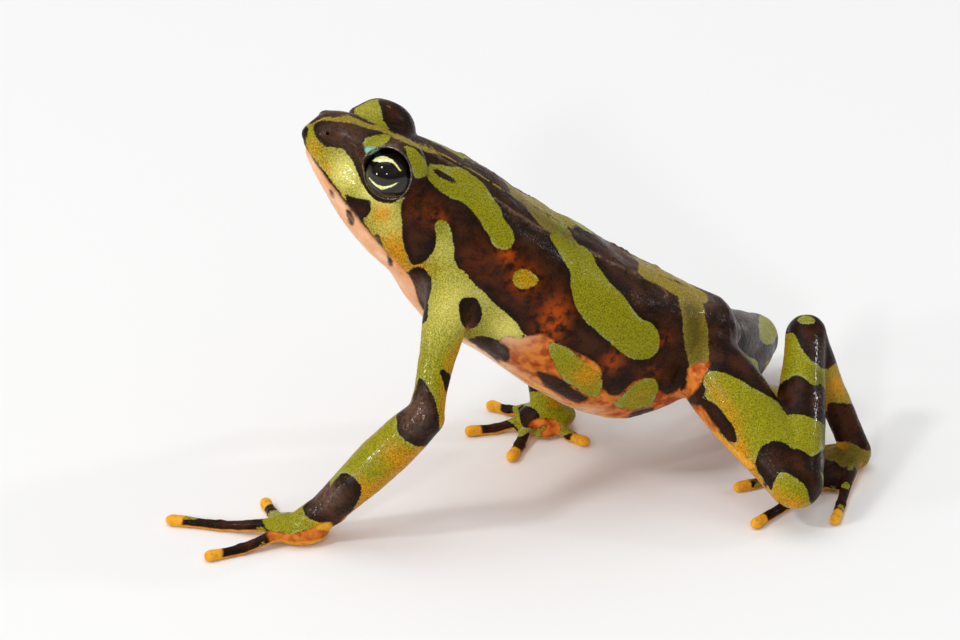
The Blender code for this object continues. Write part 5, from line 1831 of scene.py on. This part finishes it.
@dataclass(frozen=True)
class EyeFinish:
    """A black iris with a broken gold ring under a clear, wet cornea, with a painted reflection of the floor on its
    lower half.
    """

    black: Point = (0.006, 0.004, 0.003)
    brown: Point = (0.014, 0.009, 0.005)
    # colour of the painted reflection of the pale floor in the lower cornea
    grey: Point = (0.034, 0.029, 0.024)
    gold: Point = (0.80, 0.76, 0.16)
    silver: Point = (0.95, 0.95, 0.70)

    def build(self) -> bpy.types.Material:
        """The material, whose gold and painted grey reflection follow the ball's own attributes."""
        g = Graph("wet_eye")
        fleck = g.noise(0.14, 2.0)
        gold = g.mix(g.step(g.noise(0.22, 3.0), 0.42, 0.6), self.gold, self.silver)
        ring = g.math("ADD", g.attribute("gold"), g.math("MULTIPLY", g.math("SUBTRACT", fleck, 0.5), 0.13))
        iris = g.mix(g.step(g.noise(0.5, 3.0), 0.4, 0.7), self.black, self.brown)
        # painted reflection of the floor over the iris's lower half
        iris = g.mix(g.step(g.attribute("grey"), -0.03, 0.10), iris, self.grey)
        g.put(g.mix(g.step(ring, -0.02, 0.02), iris, gold), g.shader.inputs["Base Color"])
        g.put(g.step(fleck, 0.3, 0.7, 0.04, 0.06), g.shader.inputs["Roughness"])
        g.shader.inputs["Specular IOR Level"].default_value = 0.12
        g.shader.inputs["Coat Weight"].default_value = 0.22
        g.shader.inputs["Coat Roughness"].default_value = 0.02
        return g.material


@dataclass(frozen=True)
class RimFinish:
    """The dark, moist margin of the lids with a little gold in it."""

    brown: Point = (0.030, 0.014, 0.007)
    gold: Point = (0.22, 0.13, 0.05)

    def build(self) -> bpy.types.Material:
        """The material."""
        g = Graph("lid_margin")
        g.put(g.mix(g.step(g.noise(0.5, 3.0), 0.45, 0.7), self.brown, self.gold), g.shader.inputs["Base Color"])
        g.put(g.step(g.noise(0.2), 0.3, 0.7, 0.16, 0.3), g.shader.inputs["Roughness"])
        g.shader.inputs["Coat Weight"].default_value = 0.6
        g.bump(g.noise(0.2, 2.0), 0.02)
        return g.material


@dataclass
class LidRim:
    """The thin moist margin of the lids, a round ring that lies along the edge of the opening."""

    side: Side
    path: Array
    centre: Array
    gaze: Array
    thickness: float = 0.09

    def build(self) -> bpy.types.Object:
        """The ring: path(u) + r (cos v outward(u) + sin v gaze), with outward square to the gaze.

        Returns:
            The ring's object.
        """
        roll = np.linspace(0, 2 * np.pi, 14, endpoint=False)[None, :, None]
        outward = self.path - self.centre
        outward = unit(outward - (outward @ self.gaze)[:, None] * self.gaze)[:, None]
        grid = self.path[:, None] + self.thickness * (np.cos(roll) * outward + np.sin(roll) * self.gaze)
        index = np.arange(grid.shape[0] * grid.shape[1]).reshape(grid.shape[:2])
        ahead = np.roll(index, -1, axis=0)
        quads = np.stack([index, ahead, np.roll(ahead, -1, axis=1), np.roll(index, -1, axis=1)], -1)
        ring = Surface(grid.reshape(-1, 3), quads.reshape(-1, 4), np.zeros((0, 3), int))
        return ring.object(f"lid_rim_{self.side.name.lower()}")


@dataclass
class Eye:
    """An eyeball under its clear, wet cornea."""

    side: Side
    centre: Array
    gaze: Array
    radius: float = 1.95
    bulge: float = 0.1
    crescents: tuple[Pixels, ...] = (
        ((372.5, 160.6), (377, 157.2), (382.5, 156.0), (388, 157.2), (393.4, 160.7), (397.7, 165.6), (401.3, 170.4),
         (399, 170.6), (396, 166.2), (392.3, 163.0), (389, 162.2), (384.7, 161.6), (380.4, 162.2), (376, 161.6)),
        ((368.8, 177.5), (372.8, 183.4), (378.2, 187.7), (382.5, 189.6), (388, 188.1), (393.4, 186.2),
         (399, 181.8), (393, 184.4), (388, 185.8), (382.5, 186.2), (377, 184.3), (372.8, 181)),
    )
    # outline of the painted reflection of the floor on the lower half of the eye
    painted_reflections: tuple[Pixels, ...] = (
        ((366, 170), (369, 164), (372, 167), (373, 173), (381, 177), (391, 179), (404, 177), (412, 179), (409, 188),
         (400, 193), (390, 192), (380, 192), (371, 187), (367, 180)),
    )

    def build(self) -> bpy.types.Object:
        """The ball, with its pole at the middle of the gaze.

        Returns:
            The eye's object.
        """
        first = unit(np.cross(self.gaze, UPWARD))
        axes = (self.gaze, first, np.cross(self.gaze, first))
        surface = Surface.ellipsoid(self.centre + self.bulge * self.gaze, (self.radius,) * 3, axes, 160, 220)
        ball = surface.object(f"eyeball_{self.side.name.lower()}")
        # gold crescents of the iris, and the painted reflection of the floor
        for name, outlines in (("gold", self.crescents), ("grey", self.painted_reflections)):
            layer = ball.data.attributes.new(name, "FLOAT", "POINT")
            layer.data.foreach_set("value", self.inside(surface.vertices, outlines).astype(np.float32))
        return ball

    def inside(self, points: Array, outlines: tuple[Pixels, ...]) -> Array:
        """How far points lie inside areas of the eye that are outlined in the photograph: the iris's gold and the
        painted reflection.

        Args:
            points: the ball's points; the right eye's are first carried across to the left.
            outlines: the areas' outlines.

        Returns:
            One distance in mm a point, above zero inside an area.
        """
        camera = PhotoCamera()
        seen = points if self.side is Side.LEFT else Trunk().mirrored(points)
        pixels = camera.pixels(seen)
        best = np.max([inside_outline(pixels, rounded_outline(np.array(o, float))) for o in outlines], axis=0)
        front = (points - self.centre) @ self.gaze > 0
        return np.where(front, best * camera.distance / camera.focal_px, -1.0)


@dataclass(frozen=True)
class Lamp:
    """A soft square lamp that looks at the frog from a direction."""

    name: str
    towards: Point
    distance: float
    size: float
    energy: float
    colour: Point = (1.0, 1.0, 1.0)

    def build(self, aim: Array) -> bpy.types.Object:
        """Makes the lamp.

        Args:
            aim: the point that it looks at, in metres.

        Returns:
            The lamp's object.
        """
        data = bpy.data.lights.new(self.name, "AREA")
        data.energy, data.size, data.color = self.energy, self.size, self.colour
        obj = bpy.data.objects.new(self.name, data)
        back = Vector(unit(self.towards))
        obj.location = Vector(aim) + self.distance * back
        obj.rotation_euler = back.to_track_quat("Z", "Y").to_euler()
        bpy.context.scene.collection.objects.link(obj)
        return obj


@dataclass
class Studio:
    """The pale floor, the soft lamps and the sky of the photograph's studio."""

    floor_half: float = 4.0
    floor_colour: Point = (0.90, 0.90, 0.90)
    horizon: float = 0.28
    zenith: float = 0.56
    horizon_low: float = 0.20
    horizon_high: float = 0.60
    lamps: tuple[Lamp, ...] = (
        Lamp("key_lamp", (-0.8, -0.49, 1.0), 0.9, 0.10, 1.7),
        Lamp("left_lamp", (-0.9, -0.40, 0.20), 0.9, 0.09, 1.5),
        Lamp("right_lamp", (0.885, 0.20, 0.53), 0.9, 0.06, 0.7),
        Lamp("front_lamp", (-0.25, -0.85, 0.45), 0.9, 0.07, 1.1),
        Lamp("top_lamp", (-0.2, 0.1, 1.0), 1.0, 0.8, 3.2),
    )

    def build(self) -> None:
        """Makes the floor, the lamps and the sky."""
        mesh = bpy.data.meshes.new("floor")
        h = self.floor_half
        mesh.from_pydata([(-h, -h, 0), (h, -h, 0), (h, h, 0), (-h, h, 0)], [], [(0, 1, 2, 3)])
        floor = bpy.data.objects.new("floor", mesh)
        bpy.context.scene.collection.objects.link(floor)
        material = bpy.data.materials.new("white_sheet")
        material.use_nodes = True
        shader = material.node_tree.nodes["Principled BSDF"]
        shader.inputs["Base Color"].default_value = (*self.floor_colour, 1.0)
        shader.inputs["Roughness"].default_value = 0.9
        mesh.materials.append(material)
        for lamp in self.lamps:
            lamp.build(np.array((0.0, 0.0, 0.012)))
        self.sky()

    def sky(self) -> None:
        """A bright band up to a height over the horizon and a dim sky above it."""
        world = bpy.data.worlds.new("studio")
        world.use_nodes = True
        tree = world.node_tree
        background = tree.nodes["Background"]
        place = tree.nodes.new("ShaderNodeTexCoord")
        parts = tree.nodes.new("ShaderNodeSeparateXYZ")
        band = tree.nodes.new("ShaderNodeMapRange")
        band.interpolation_type = "SMOOTHSTEP"
        band.inputs["From Min"].default_value = self.horizon_low
        band.inputs["From Max"].default_value = self.horizon_high
        band.inputs["To Min"].default_value = self.horizon
        band.inputs["To Max"].default_value = self.zenith
        tree.links.new(place.outputs["Generated"], parts.inputs[0])
        tree.links.new(parts.outputs["Z"], band.inputs["Value"])
        tree.links.new(band.outputs["Result"], background.inputs["Strength"])
        background.inputs["Color"].default_value = (1.0, 1.0, 1.0, 1.0)
        scene = bpy.context.scene
        scene.world = world
        scene.view_settings.view_transform = "Standard"


def main() -> None:
    """Builds the frog, its eyes and the studio, in order."""
    logging.basicConfig(level=logging.INFO, format="%(message)s")
    camera = PhotoCamera()
    camera.build()
    trunk, limbs = Trunk(), Limbs()
    face = Face(trunk)
    bones = [limbs.arm(side) for side in Side] + [limbs.leg(side) for side in Side]
    ends = [limbs.hand(side) for side in Side] + [limbs.foot(side) for side in Side]
    form = Skin(trunk, face, bones, ends)
    skin = form.build()
    log.info("skin: shaped")
    canvas = Canvas.of(skin, form, camera)
    Harlequin(face).paint(canvas)
    canvas.write(skin)
    set_mesh_points(skin, placed(canvas.points + canvas.lift[:, None] * canvas.normals))
    skin.data.materials.clear()
    skin.data.materials.append(SkinFinish().build())
    skin.data.polygons.foreach_set("material_index", np.zeros(len(skin.data.polygons), np.int32))
    skin.data.shade_smooth()
    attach(skin, "root")
    flesh = [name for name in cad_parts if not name.startswith("eye_")]
    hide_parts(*flesh)
    log.info("skin: done")
    eye_finish, rim_finish = EyeFinish().build(), RimFinish().build()
    for side in Side:
        rim = LidRim(side, form.rims[side], face.eye(side), face.gaze(side)).build()
        eye = Eye(side, face.eye(side), face.gaze(side)).build()
        rim.data.materials.append(rim_finish)
        eye.data.materials.append(eye_finish)
        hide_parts(f"eye_{side.name.lower()}")
        for piece, slot in ((rim, "skin"), (eye, "eye")):
            piece.data.shade_smooth()
            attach(piece, "root")
        log.info("eye and lid rim: %s", side.name.lower())
    Studio().build()


if __name__ == "__main__":
    main()
